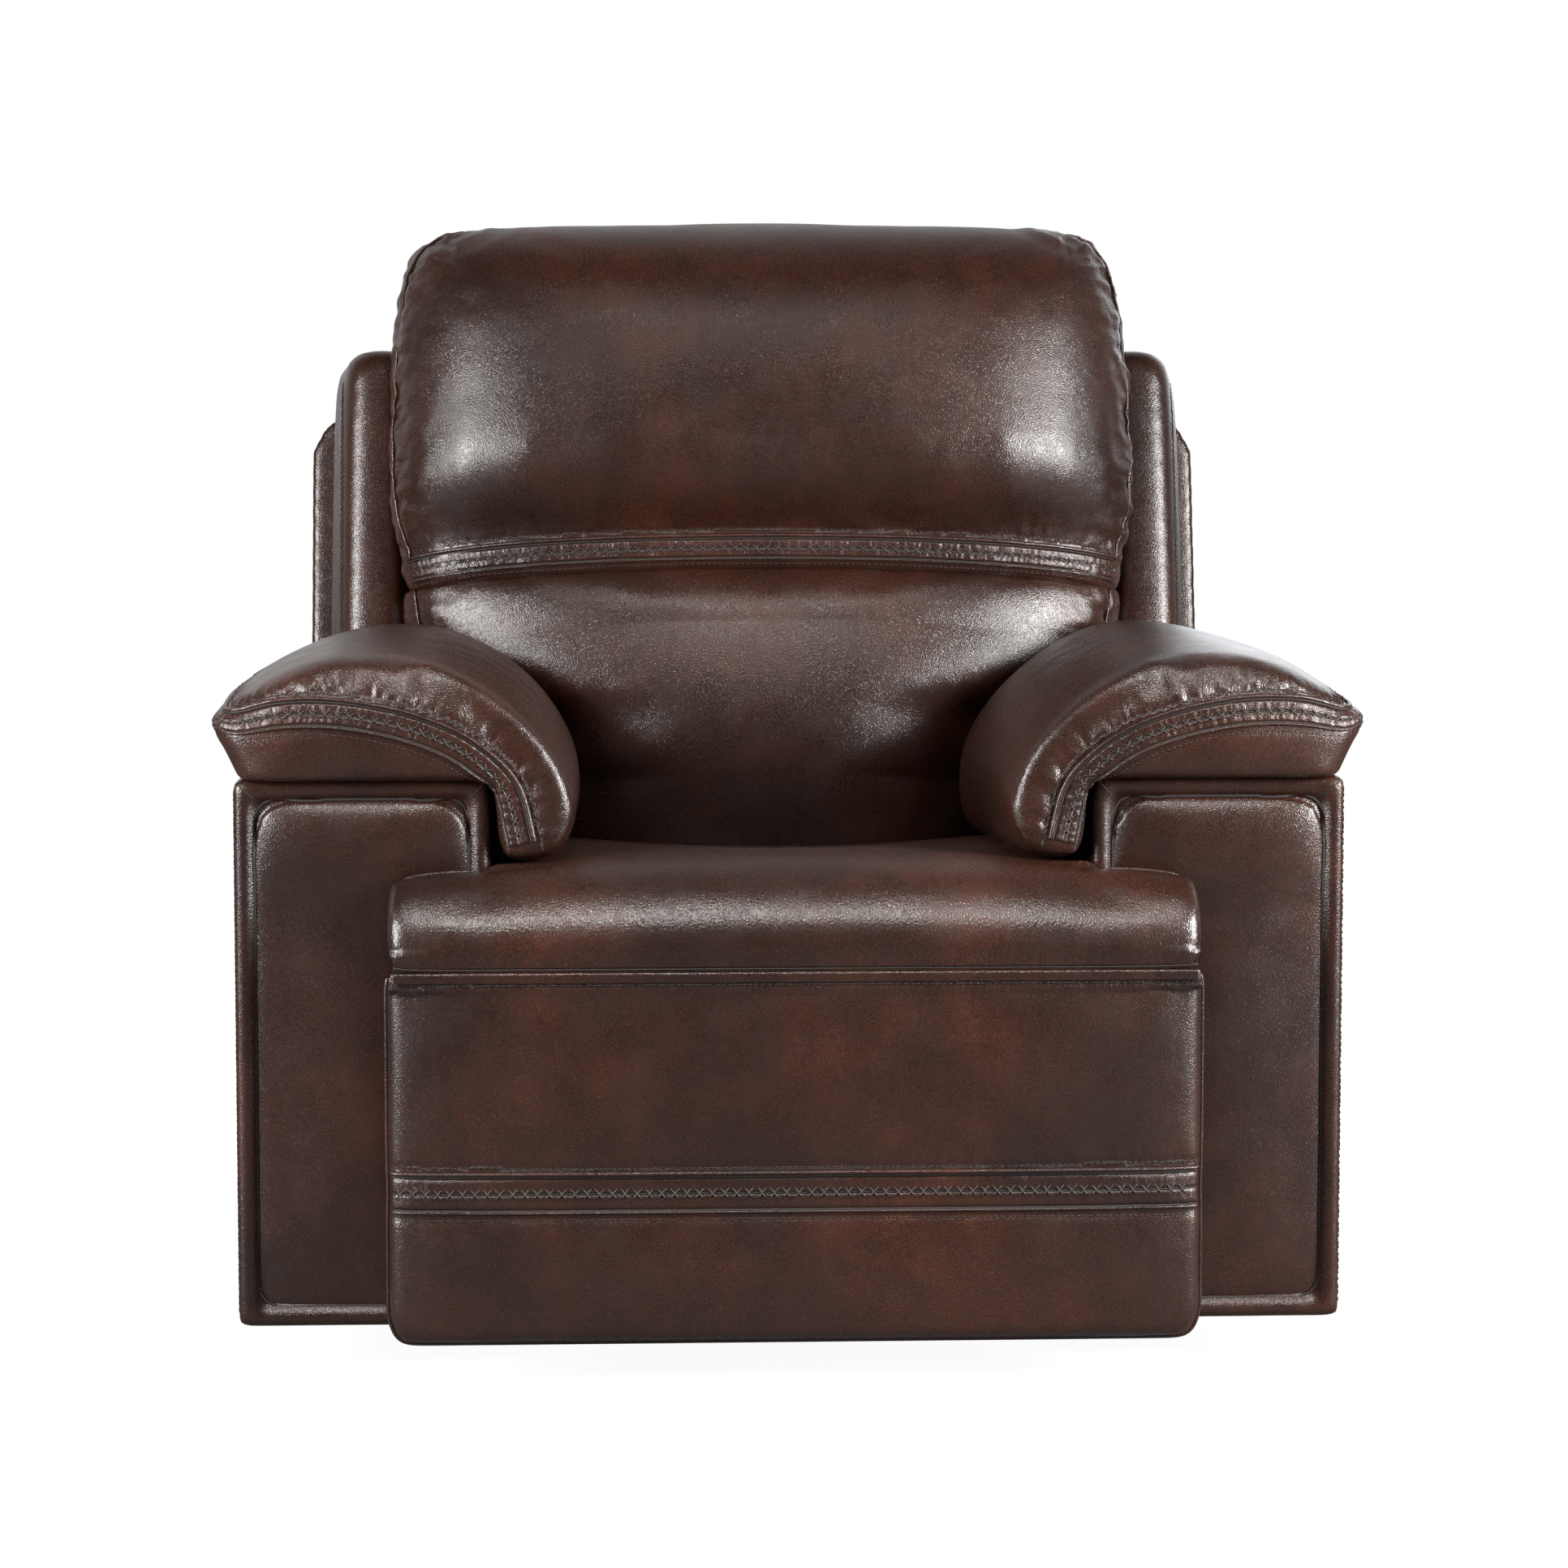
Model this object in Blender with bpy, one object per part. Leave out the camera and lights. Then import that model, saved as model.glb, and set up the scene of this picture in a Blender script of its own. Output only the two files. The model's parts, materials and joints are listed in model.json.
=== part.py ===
# Power glider recliner: leather armchair on a swinging glider base.
# Metres, +Z up, the sitter faces -Y, left and right as seen from the front.

import math

import bmesh
import bpy
from mathutils import Vector
from mathutils.geometry import tessellate_polygon

for old in list(bpy.data.objects):
    bpy.data.objects.remove(old, do_unlink=True)

# Overall sizes
FLOOR_GAP = 0.045          # daylight under the arms and the legrest
SEAT_FRONT_Y = -0.490      # front of the seat roll and of the legrest
ARM_FRONT_Y = -0.400
ARM_REAR_Y = 0.430
ARM_OUTER_X = 0.491
ARM_INNER_X = 0.266
ARM_TOP_Z = 0.533
PAD_OUTER_X = 0.511
PAD_FRONT_Y = -0.418
PAD_REAR_Y = 0.085
PAD_CREST_Z = 0.652
PAD_TIP_Z = 0.590          # widest point of the pads

# Fits
GAP = 0.0003               # parts that are bolted, glued or rest on each other
PIVOT_GAP = 0.0003         # rivet in its hole, on the radius
LINK_GAP = 0.0010          # link beside link
SOFT_GAP = 0.0030          # cushion beside cushion

# Front opening of the T shaped seat
T_HALF = 0.3545
T_REAR_Y = ARM_FRONT_Y - 0.0025
SEAM_Z = 0.3745            # seam between seat roll and legrest

# Steel
PLATE = 0.005
RIVET_R = 0.005
TUBE_R = 0.0125

# Glider: four hanging links between the posts of the base and the chassis
GLIDE_FRONT_Y = -0.140
GLIDE_REAR_Y = 0.130
GLIDE_TOP_Z = 0.262
GLIDE_LINK = 0.165
GLIDE_LOW_Z = GLIDE_TOP_Z - GLIDE_LINK
CHASSIS_PLATE_X = ARM_INNER_X - GAP - 0.004
GLIDE_LINK_X = CHASSIS_PLATE_X - 0.0092
TOWER_X = GLIDE_LINK_X - LINK_GAP - PLATE

# Base on the floor
GLIDE_PAD_H = 0.012
BASE_RAIL_Z = GLIDE_PAD_H + GAP
BASE_RAIL_H = 0.030
BASE_RAIL_W = 0.025
BASE_FRONT_Y = -0.260
BASE_REAR_Y = 0.330

# Seat frame and seat cushion
RAIL_TOP_Z = 0.335
RAIL_H = 0.040
RAIL_W = 0.030
RAIL_X = CHASSIS_PLATE_X - GAP - RAIL_W
SPRING_R = 0.0022
SEAT_UNDER_Z = RAIL_TOP_Z + 2 * SPRING_R + 2 * GAP
SEAT_HALF = ARM_INNER_X - 0.004
SEAT_REAR_Y = 0.055
SEAT_EDGE_FRONT_Z = 0.456
SEAT_EDGE_REAR_Z = 0.424
SEAT_CROWN = 0.010
ROLL_EDGE = 0.008          # round of the seat roll at the seam

# Legrest linkage, as two parallelograms on each side
LEG_A = (-0.270, RAIL_TOP_Z - RAIL_H / 2)  # front swing pivot (y, z)
LEG_LINK = 0.235
LEG_REST_DEG = 248.0       # swing links at rest, from straight ahead through up
LEG_SPACING = 0.070        # front swing pivot to rear swing pivot
LEG_SPACING_DEG = 190.0
LEG_TILT_ARM = 0.040
LEG_C = (-0.385, 0.185)    # legrest pivot on the carrier
LINK_HALF = 0.011
LEG_LINK_X = RAIL_X - LINK_GAP - PLATE
CARRIER_X = LEG_LINK_X - LINK_GAP - PLATE
TILT_X = CARRIER_X - LINK_GAP - PLATE
DRIVE_RADIUS = 0.120       # drive tube from the rear swing pivot
DRIVE_TUBE_R = 0.010

# Legrest
LEG_TOP_Z = SEAM_Z - SOFT_GAP
LEG_LOW_Z = FLOOR_GAP
BOARD_T = 0.012
LEG_BAND_Z = (0.164, 0.194)
LEG_RIM = 0.060            # thickness of the legrest pad at its edges

# Back: built upright about the recline pivot, then leaned
PIVOT_Y = 0.170
PIVOT_Z = 0.370
LEAN_DEG = 13.0
BACK_ARC = 0.104           # round lower end of the lumbar cushion about the pivot
BACK_TOP = 0.690
BACK_HALF = 0.3825
BACK_SPLIT = 0.3165        # seam between the lumbar cushion and the head cushion
BACK_SPLIT_DROP = 0.0145
BACK_BAND = 0.036
BRACKET_X = CHASSIS_PLATE_X - LINK_GAP - PLATE
LOWER_CLEAR = 0.0157       # lumbar cushion beside the recline brackets
LOWER_HALF = BRACKET_X - LOWER_CLEAR
LOWER_TOP = 0.168          # end of the narrow part between the arms
BOARD_FRONT_T = 0.149
WING_LAP = 0.0175          # head cushion in front of the wings
WING_INNER = BACK_HALF - WING_LAP
WING_WIDTH = 0.082
WING_OUTER = WING_INNER + WING_WIDTH
WING_TOP = 0.566
WING_LOW = 0.174
WING_LOW_REAR = 0.226
WING_GAP = 0.0014          # lumbar cushion beside the wings
CORE_GAP = 0.0055          # core of the head cushion between the wings
SIDE_TAPER = 0.1875        # how fast the lumbar cushion widens upwards
HEAD_SPREAD = 0.085        # height over which the head cushion reaches its full width
HEAD_RISE = 0.105          # height over which it reaches its full thickness above the band
SHELL_FRONT_T = BOARD_FRONT_T + BOARD_T + 2 * GAP
SHELL_REAR_T = 0.192
SHELL_LIP = 0.025          # outside back past the wings
SHELL_HALF = WING_OUTER + SHELL_LIP
SHELL_NARROW = 0.252       # between the arms
SHELL_TOP_HALF = WING_INNER - 0.013
SHELL_LOW = -0.030
SHELL_TOP = 0.662

# Controls on the outer face of the left arm
PANEL_Y = -0.210
PANEL_Z = 0.450
PANEL_L = 0.090
PANEL_W = 0.042
PANEL_T = 0.003
BUTTON_L = 0.026
BUTTON_W = 0.018
BUTTON_PITCH = 0.036
BUTTON_GAP = 0.0006


def leather_brown(name, shade):
    return finish(name, (0.060 * shade, 0.026 * shade, 0.017 * shade), 0.42, 0.0)


def finish(name, colour, rough, metal):
    mat = bpy.data.materials.new(name)
    mat.use_nodes = True
    shader = mat.node_tree.nodes["Principled BSDF"]
    shader.inputs["Base Color"].default_value = (*colour, 1.0)
    shader.inputs["Roughness"].default_value = rough
    shader.inputs["Metallic"].default_value = metal
    mat.diffuse_color = (*colour, 1.0)
    return mat


LEATHER = leather_brown("brown_leather", 1.0)
LEATHER_DARK = leather_brown("brown_leather_panel", 0.8)
STEEL_BLACK = finish("black_steel", (0.03, 0.03, 0.033), 0.45, 0.8)
STEEL_ZINC = finish("zinc_steel", (0.55, 0.55, 0.56), 0.35, 1.0)
PLASTIC = finish("black_plastic", (0.02, 0.02, 0.022), 0.5, 0.0)
PLYWOOD = finish("plywood", (0.50, 0.34, 0.19), 0.65, 0.0)


def empty(name, y, z, lean=0.0):
    axis = bpy.data.objects.new(name, None)
    axis.location = (0.0, y, z)
    axis.rotation_euler = (-math.radians(lean), 0.0, 0.0)
    bpy.context.scene.collection.objects.link(axis)
    bpy.context.view_layer.update()
    return axis


def place(name, bm, mat, parent=None, local=False):
    """Turns a mesh into a named object; a child's mesh is moved into its parent's frame."""
    if parent is not None and not local:
        bm.transform(parent.matrix_world.inverted())
    bm.normal_update()
    bmesh.ops.recalc_face_normals(bm, faces=bm.faces)
    mesh = bpy.data.meshes.new(name)
    bm.to_mesh(mesh)
    bm.free()
    mesh.materials.append(mat)
    ob = bpy.data.objects.new(name, mesh)
    ob.parent = parent
    bpy.context.scene.collection.objects.link(ob)
    return ob


def helper(name, bm):
    ob = place(name, bm, PLASTIC)
    ob.hide_render = True
    ob.display_type = "WIRE"
    return ob


def combine(ob, other, operation):
    mod = ob.modifiers.new(operation.lower(), "BOOLEAN")
    mod.operation = operation
    mod.solver = "EXACT"
    mod.object = other


def bevel(ob, width, segments=2, angle=35.0):
    mod = ob.modifiers.new("round", "BEVEL")
    mod.width = width
    mod.segments = segments
    mod.limit_method = "ANGLE"
    mod.angle_limit = math.radians(angle)


def box(x0, x1, y0, y1, z0, z1):
    x0, x1 = min(x0, x1), max(x0, x1)
    bm = bmesh.new()
    bmesh.ops.create_cube(bm, size=1.0)
    for v in bm.verts:
        v.co = Vector((
            x0 if v.co.x < 0 else x1,
            y0 if v.co.y < 0 else y1,
            z0 if v.co.z < 0 else z1,
        ))
    return bm


def circle(y, z, radius, count=14):
    return [
        (y + radius * math.cos(i * math.tau / count), z + radius * math.sin(i * math.tau / count))
        for i in range(count)
    ]


def ahead(start, length, degrees):
    """The point at a length and angle from a start, the angle from straight ahead through up."""
    a = math.radians(degrees)
    return (start[0] - length * math.cos(a), start[1] + length * math.sin(a))


def bar(points, half, count=7):
    """Outline of a flat link: half circles round both ends, parallel edges between."""
    left, right = [], []
    for i, p in enumerate(points):
        before = Vector(points[max(i - 1, 0)])
        after = Vector(points[min(i + 1, len(points) - 1)])
        if 0 < i < len(points) - 1:
            d1 = (Vector(p) - before).normalized()
            d2 = (after - Vector(p)).normalized()
            d = (d1 + d2).normalized()
            reach = half / max(d.dot(d1), 0.5)
        else:
            d = (after - before).normalized()
            reach = half
        n = Vector((-d.y, d.x)) * reach
        if i == 0:
            for k in range(1, count):
                a = math.pi * k / count
                left.append(tuple(Vector(p) - n * math.cos(a) - d * half * math.sin(a)))
        left.append(tuple(Vector(p) + n))
        right.append(tuple(Vector(p) - n))
        if i == len(points) - 1:
            for k in range(1, count):
                a = math.pi * k / count
                left.append(tuple(Vector(p) + n * math.cos(a) + d * half * math.sin(a)))
    return left + right[::-1]


def plate(outline, x0, x1, holes=(), studs=(), side=1):
    """Flat plate in the YZ plane with round holes and with rivets fused to either face.

    A rivet is (y, z, radius, x of its end), past the face that it stands on."""
    bm = bmesh.new()
    hole_rings = [circle(*h) for h in holes]
    ends = {x0: [], x1: []}
    for y, z, radius, end in studs:
        ends[x0 if end < x0 else x1].append((circle(y, z, radius), end))

    def ring(points, x):
        return [bm.verts.new((side * x, p[0], p[1])) for p in points]

    def wall(a, b):
        for i in range(len(a)):
            j = (i + 1) % len(a)
            bm.faces.new((a[i], a[j], b[j], b[i]))

    rims = {}
    for x in (x0, x1):
        rims[x] = [ring(outline, x)] + [ring(r, x) for r in hole_rings]
        feet = [ring(r, x) for r, _ in ends[x]]
        loops = rims[x] + feet
        flat = [v for loop in loops for v in loop]
        polys = [[Vector((v.co.y, v.co.z, 0.0)) for v in loop] for loop in loops]
        for tri in tessellate_polygon(polys):
            bm.faces.new([flat[i] for i in tri])
        for foot, (points, end) in zip(feet, ends[x]):
            tip = ring(points, end)
            wall(foot, tip)
            bm.faces.new(tip)
    for a, b in zip(rims[x0], rims[x1]):
        wall(a, b)
    return bm


def loft(rings):
    """Closed body through rings of equal point count, capped at both ends."""
    bm = bmesh.new()
    loops = [[bm.verts.new(p) for p in ring] for ring in rings]
    for a, b in zip(loops, loops[1:]):
        for i in range(len(a)):
            j = (i + 1) % len(a)
            bm.faces.new((a[i], a[j], b[j], b[i]))
    bm.faces.new(loops[0])
    bm.faces.new(loops[-1])
    return bm


def rod(x0, x1, y, z, radius, count=16):
    ring = circle(y, z, radius, count)
    return loft([[(x0, p[0], p[1]) for p in ring], [(x1, p[0], p[1]) for p in ring]])


def eased(count):
    """Values from -1 to 1 that crowd towards both ends."""
    return [math.sin(math.pi * (i / count - 0.5)) for i in range(count + 1)]


def pillow(columns, rows, at, skirt):
    """Cushion from a grid of front points at(u, w), closed by skirt rings of boundary points.

    Each skirt ring is a function of the boundary point; the last one is capped."""
    bm = bmesh.new()
    grid = [[bm.verts.new(at(u, w)) for u in columns] for w in rows]
    for low, high in zip(grid, grid[1:]):
        for i in range(len(columns) - 1):
            bm.faces.new((low[i], low[i + 1], high[i + 1], high[i]))
    rim = grid[0][:-1] + [r[-1] for r in grid[:-1]] + grid[-1][:0:-1] + [r[0] for r in grid[:0:-1]]
    for move in skirt:
        lower = [bm.verts.new(move(v.co.copy())) for v in rim]
        for i in range(len(rim)):
            j = (i + 1) % len(rim)
            bm.faces.new((rim[i], rim[j], lower[j], lower[i]))
        rim = lower
    bm.faces.new(rim)
    return bm


def dome(s, power):
    """One in the middle, nought at the edges, with rounded shoulders."""
    return math.sqrt(max(1.0 - abs(s) ** power, 0.0))


def rounded_half(half, low, high, radius, v):
    """Half width of an outline with round corners at its low and high ends."""
    d = min(max(min(v - low, high - v), 0.0), radius)
    return half - radius + math.sqrt(radius ** 2 - (radius - d) ** 2)


def notch(v, line, width):
    return math.exp(-((v - line) / width) ** 2)


SIDES = (("left", -1), ("right", 1))

# Pivots worked out from the driving sizes
LEG_A2 = ahead(LEG_A, LEG_SPACING, LEG_SPACING_DEG)
LEG_B = ahead(LEG_A, LEG_LINK, LEG_REST_DEG)
LEG_B2 = ahead(LEG_A2, LEG_LINK, LEG_REST_DEG)
LEG_D = ahead(LEG_A, LEG_LINK + LEG_TILT_ARM, LEG_REST_DEG)
LEG_E = ahead(LEG_C, LEG_TILT_ARM, LEG_REST_DEG)
DRIVE = ahead(LEG_A2, DRIVE_RADIUS, LEG_REST_DEG)
DRIVE_OPEN = ahead(LEG_A2, DRIVE_RADIUS, LEG_REST_DEG + 90.0)

glide_front = empty("glide_front_axis", GLIDE_FRONT_Y, GLIDE_TOP_Z)
glide_rear = empty("glide_rear_axis", GLIDE_REAR_Y, GLIDE_TOP_Z)
chassis = empty("chassis_axis", GLIDE_FRONT_Y, GLIDE_LOW_Z)
leg_front = empty("legrest_front_axis", *LEG_A)
leg_rear = empty("legrest_rear_axis", *LEG_A2)
leg_carry = empty("legrest_carrier_axis", *LEG_B)
leg_tilt = empty("legrest_tilt_axis", *LEG_D)
leg_panel = empty("legrest_panel_axis", *LEG_C)
back = empty("recline_axis", PIVOT_Y, PIVOT_Z, LEAN_DEG)

# Base: two rails on four glide pads, two cross bars, two posts that hang the glider links
BASE_RAIL_X = TOWER_X + PLATE / 2
for name, side in SIDES:
    rail = place(
        f"base_rail_{name}",
        box(
            side * (BASE_RAIL_X - BASE_RAIL_W / 2), side * (BASE_RAIL_X + BASE_RAIL_W / 2),
            BASE_FRONT_Y, BASE_REAR_Y, BASE_RAIL_Z, BASE_RAIL_Z + BASE_RAIL_H,
        ),
        STEEL_BLACK,
    )
    bevel(rail, 0.003)
    for end, y in (("front", BASE_FRONT_Y + 0.030), ("rear", BASE_REAR_Y - 0.030)):
        rings = []
        for z, r in ((0.0, 0.010), (0.003, 0.014), (GLIDE_PAD_H, 0.0115)):
            rings.append([(side * BASE_RAIL_X + p[0], y + p[1], z) for p in circle(0, 0, r)])
        place(f"floor_glide_{end}_{name}", loft(rings), PLASTIC)
    top = GLIDE_TOP_Z + 0.018
    foot = BASE_RAIL_Z + BASE_RAIL_H + GAP
    outline = [
        (-0.060, foot), (0.050, foot), (0.055, 0.175), (GLIDE_REAR_Y + 0.022, GLIDE_TOP_Z - 0.020),
        (GLIDE_REAR_Y + 0.022, top), (GLIDE_FRONT_Y - 0.022, top),
        (GLIDE_FRONT_Y - 0.022, GLIDE_TOP_Z - 0.020), (-0.065, 0.175),
    ]
    studs = [
        (y, GLIDE_TOP_Z, RIVET_R, GLIDE_LINK_X + PLATE + 0.0015)
        for y in (GLIDE_FRONT_Y, GLIDE_REAR_Y)
    ]
    place(
        f"glider_post_{name}",
        plate(outline, TOWER_X, TOWER_X + PLATE, studs=studs, side=side),
        STEEL_BLACK,
    )

for name, y in (("front", 0.000), ("rear", 0.250)):
    reach = BASE_RAIL_X - BASE_RAIL_W / 2 - GAP
    bar_ob = place(
        f"base_cross_{name}",
        box(-reach, reach, y - 0.012, y + 0.012, BASE_RAIL_Z, BASE_RAIL_Z + 0.024),
        STEEL_BLACK,
    )
    bevel(bar_ob, 0.003)

# Glider links: each hangs on a post and carries the chassis on its lower hole
for end, y, axis in (("front", GLIDE_FRONT_Y, glide_front), ("rear", GLIDE_REAR_Y, glide_rear)):
    for name, side in SIDES:
        holes = [(y, z, RIVET_R + PIVOT_GAP) for z in (GLIDE_TOP_Z, GLIDE_LOW_Z)]
        outline = bar([(y, GLIDE_TOP_Z), (y, GLIDE_LOW_Z)], 0.014)
        place(
            f"glide_link_{end}_{name}",
            plate(outline, GLIDE_LINK_X, GLIDE_LINK_X + PLATE, holes, side=side),
            STEEL_ZINC, axis,
        )

# Chassis: side plates with the glider and recline pivots, two cross tubes
for name, side in SIDES:
    outline = [
        (-0.330, RAIL_TOP_Z), (-0.330, RAIL_TOP_Z - RAIL_H), (GLIDE_FRONT_Y - 0.030, GLIDE_LOW_Z),
        (GLIDE_FRONT_Y - 0.012, GLIDE_LOW_Z - 0.016), (GLIDE_REAR_Y + 0.030, GLIDE_LOW_Z - 0.016),
        (GLIDE_REAR_Y + 0.080, GLIDE_LOW_Z - 0.004), (PIVOT_Y + 0.045, 0.300),
        (PIVOT_Y + 0.026, PIVOT_Z + 0.020), (PIVOT_Y - 0.020, PIVOT_Z + 0.026),
        (PIVOT_Y - 0.050, RAIL_TOP_Z),
    ]
    inner = CHASSIS_PLATE_X
    studs = [
        (y, GLIDE_LOW_Z, RIVET_R, GLIDE_LINK_X - 0.0005) for y in (GLIDE_FRONT_Y, GLIDE_REAR_Y)
    ] + [(PIVOT_Y, PIVOT_Z, RIVET_R + 0.001, inner - LINK_GAP - PLATE - 0.001)]
    place(
        f"chassis_plate_{name}",
        plate(outline, inner, ARM_INNER_X - GAP, studs=studs, side=side),
        STEEL_BLACK, chassis,
    )

TUBE_REACH = CHASSIS_PLATE_X - GAP
REAR_TUBE = (0.185, 0.104)
place(
    "chassis_tube_front",
    rod(-RAIL_X + GAP, RAIL_X - GAP, -0.120, RAIL_TOP_Z - TUBE_R - 0.002, TUBE_R),
    STEEL_BLACK, chassis,
)
place(
    "chassis_tube_rear", rod(-TUBE_REACH, TUBE_REACH, *REAR_TUBE, TUBE_R), STEEL_BLACK, chassis,
)

# Seat frame: four steel rails, the side rails with the legrest pivots
RAIL_FRONT_Y = ARM_FRONT_Y + 0.015
for name, side in SIDES:
    outline = [
        (RAIL_FRONT_Y, RAIL_TOP_Z - RAIL_H), (SEAT_REAR_Y - 0.010, RAIL_TOP_Z - RAIL_H),
        (SEAT_REAR_Y - 0.010, RAIL_TOP_Z), (RAIL_FRONT_Y, RAIL_TOP_Z),
    ]
    studs = [
        (p[0], p[1], RIVET_R, LEG_LINK_X - 0.0005) for p in (LEG_A, LEG_A2)
    ]
    place(
        f"seat_rail_{name}",
        plate(outline, RAIL_X, RAIL_X + RAIL_W, studs=studs, side=side),
        STEEL_BLACK, chassis,
    )
RAIL_REACH = RAIL_X - GAP
for name, y0, low in (
    ("front", RAIL_FRONT_Y, RAIL_TOP_Z - 0.020),
    ("rear", SEAT_REAR_Y - 0.010 - RAIL_W, RAIL_TOP_Z - RAIL_H),
):
    cross = place(
        f"seat_rail_{name}",
        box(-RAIL_REACH, RAIL_REACH, y0, y0 + RAIL_W, low, RAIL_TOP_Z),
        STEEL_BLACK, chassis,
    )
    bevel(cross, 0.003)

# Seat springs: three lengths of sinuous wire from the front rail to the rear rail
SPRING_START = RAIL_FRONT_Y + 0.008
SPRING_END = SEAT_REAR_Y - 0.018
for number, x in enumerate((-0.120, 0.0, 0.120), 1):
    steps = 54
    path = []
    for i in range(steps + 1):
        s = i / steps
        path.append(Vector((
            x + 0.020 * math.sin(9 * math.tau * s),
            SPRING_START + (SPRING_END - SPRING_START) * s,
            RAIL_TOP_Z + SPRING_R + GAP,
        )))
    rings = []
    for i, p in enumerate(path):
        d = path[min(i + 1, steps)] - path[max(i - 1, 0)]
        n = Vector((-d.y, d.x, 0.0)).normalized() * SPRING_R
        up = Vector((0.0, 0.0, SPRING_R))
        rings.append([p + n * math.cos(k * math.tau / 5) + up * math.sin(k * math.tau / 5)
                      for k in range(5)])
    place(f"seat_spring_{number}", loft(rings), STEEL_ZINC, chassis)

# Seat cushion: crowned pad between the arms, fused to a full roll across the T front
def seat_edge_z(y):
    s = (y - ARM_FRONT_Y) / (SEAT_REAR_Y - ARM_FRONT_Y)
    return SEAT_EDGE_FRONT_Z + (SEAT_EDGE_REAR_Z - SEAT_EDGE_FRONT_Z) * max(s, 0.0)


DECK_FRONT_Y = ARM_FRONT_Y + 0.005
ROLL_REAR_Y = DECK_FRONT_Y + 0.012


def seat_point(u, w):
    y = (SEAT_REAR_Y + DECK_FRONT_Y) / 2 + w * (SEAT_REAR_Y - DECK_FRONT_Y) / 2
    lift = SEAT_CROWN * (1 - u * u) + 0.012 * dome(u, 10) - 0.012
    drop = 0.014 * max(w, 0.0) ** 10
    return Vector((SEAT_HALF * u, y, seat_edge_z(y) + lift - drop))


seat = place(
    "seat_cushion",
    pillow(
        eased(12), eased(12), seat_point,
        [lambda p: Vector((p.x, p.y, SEAT_UNDER_Z))],
    ),
    LEATHER, chassis,
)


def roll_profile(scale, crown, rear):
    """Section of the seat roll: flat behind and below, round over the top and the front."""
    mid_y, mid_z = (T_REAR_Y + SEAT_FRONT_Y) / 2, (SEAM_Z + SEAT_EDGE_FRONT_Z) / 2
    points = [(rear, SEAM_Z + 0.006), (rear, SEAT_EDGE_FRONT_Z + crown - 0.002)]
    reach_y = T_REAR_Y - 0.020 - SEAT_FRONT_Y
    reach_z = SEAT_EDGE_FRONT_Z + crown - SEAM_Z - ROLL_EDGE
    for i in range(9):
        a = math.pi / 2 * i / 8
        points.append((
            T_REAR_Y - 0.020 - reach_y * math.sin(a), SEAM_Z + ROLL_EDGE + reach_z * math.cos(a),
        ))
    for i in range(1, 5):
        a = math.pi / 2 * i / 4
        points.append((
            SEAT_FRONT_Y + ROLL_EDGE * (1 - math.cos(a)), SEAM_Z + ROLL_EDGE * (1 - math.sin(a)),
        ))
    points.append((T_REAR_Y - 0.006, SEAM_Z))
    return [
        (min(mid_y + (y - mid_y) * scale, rear), mid_z + (z - mid_z) * scale)
        for y, z in points
    ]


rings = []
deck_edge = (SEAT_HALF / T_HALF, (SEAT_HALF - 0.008) / T_HALF)
for s in sorted(eased(12) + [e * k for e in deck_edge for k in (-1, 1)]):
    ease = 0.80 + 0.20 * dome(s, 14)
    x = T_HALF * s
    crown = SEAT_CROWN * max(1 - (x / SEAT_HALF) ** 2, 0.0)
    rear = ROLL_REAR_Y if abs(x) < SEAT_HALF - 0.004 else T_REAR_Y
    rings.append([(x, y, z) for y, z in roll_profile(ease, crown, rear)])
combine(seat, helper("seat_roll_form", loft(rings)), "UNION")

# Arms: padded boxes with a set-in front panel, cut down behind so that the back can swing
PANEL_INSET = 0.016
PANEL_DEPTH = 0.012
ARM_NOTCH_Y = 0.2035
ARM_NOTCH_Z = 0.375
arms = {}
for name, side in SIDES:
    outline = [
        (ARM_FRONT_Y, FLOOR_GAP), (ARM_REAR_Y, FLOOR_GAP), (ARM_REAR_Y, ARM_NOTCH_Z),
        (ARM_NOTCH_Y, ARM_TOP_Z), (ARM_FRONT_Y, ARM_TOP_Z),
    ]
    arm = place(
        f"arm_{name}", plate(outline, ARM_INNER_X, ARM_OUTER_X, side=side), LEATHER_DARK, chassis,
    )
    bevel(arm, 0.009, 3)
    pocket = box(
        side * (ARM_INNER_X + PANEL_INSET), side * (ARM_OUTER_X - PANEL_INSET),
        ARM_FRONT_Y - 0.010, ARM_FRONT_Y + PANEL_DEPTH,
        FLOOR_GAP + PANEL_INSET, ARM_TOP_Z - PANEL_INSET,
    )
    combine(arm, helper(f"arm_pocket_{name}", pocket), "DIFFERENCE")
    arms[name] = arm

    mid_x = (ARM_INNER_X + ARM_OUTER_X) / 2
    half = (ARM_OUTER_X - ARM_INNER_X) / 2 - PANEL_INSET - GAP
    low, high = FLOOR_GAP + PANEL_INSET + GAP, ARM_TOP_Z - PANEL_INSET - GAP

    def facing_point(u, w, side=side):
        z = (low + high) / 2 + w * (high - low) / 2
        x = side * mid_x + u * rounded_half(half, low, high, 0.020, z)
        return Vector((x, ARM_FRONT_Y + 0.0085 - 0.0088 * dome(u, 8) * dome(w, 16), z))

    place(
        f"arm_facing_{name}",
        pillow(
            eased(8), eased(12), facing_point,
            [lambda p: Vector((p.x, ARM_FRONT_Y + PANEL_DEPTH - GAP, p.z))],
        ),
        LEATHER, chassis,
    )

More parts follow.
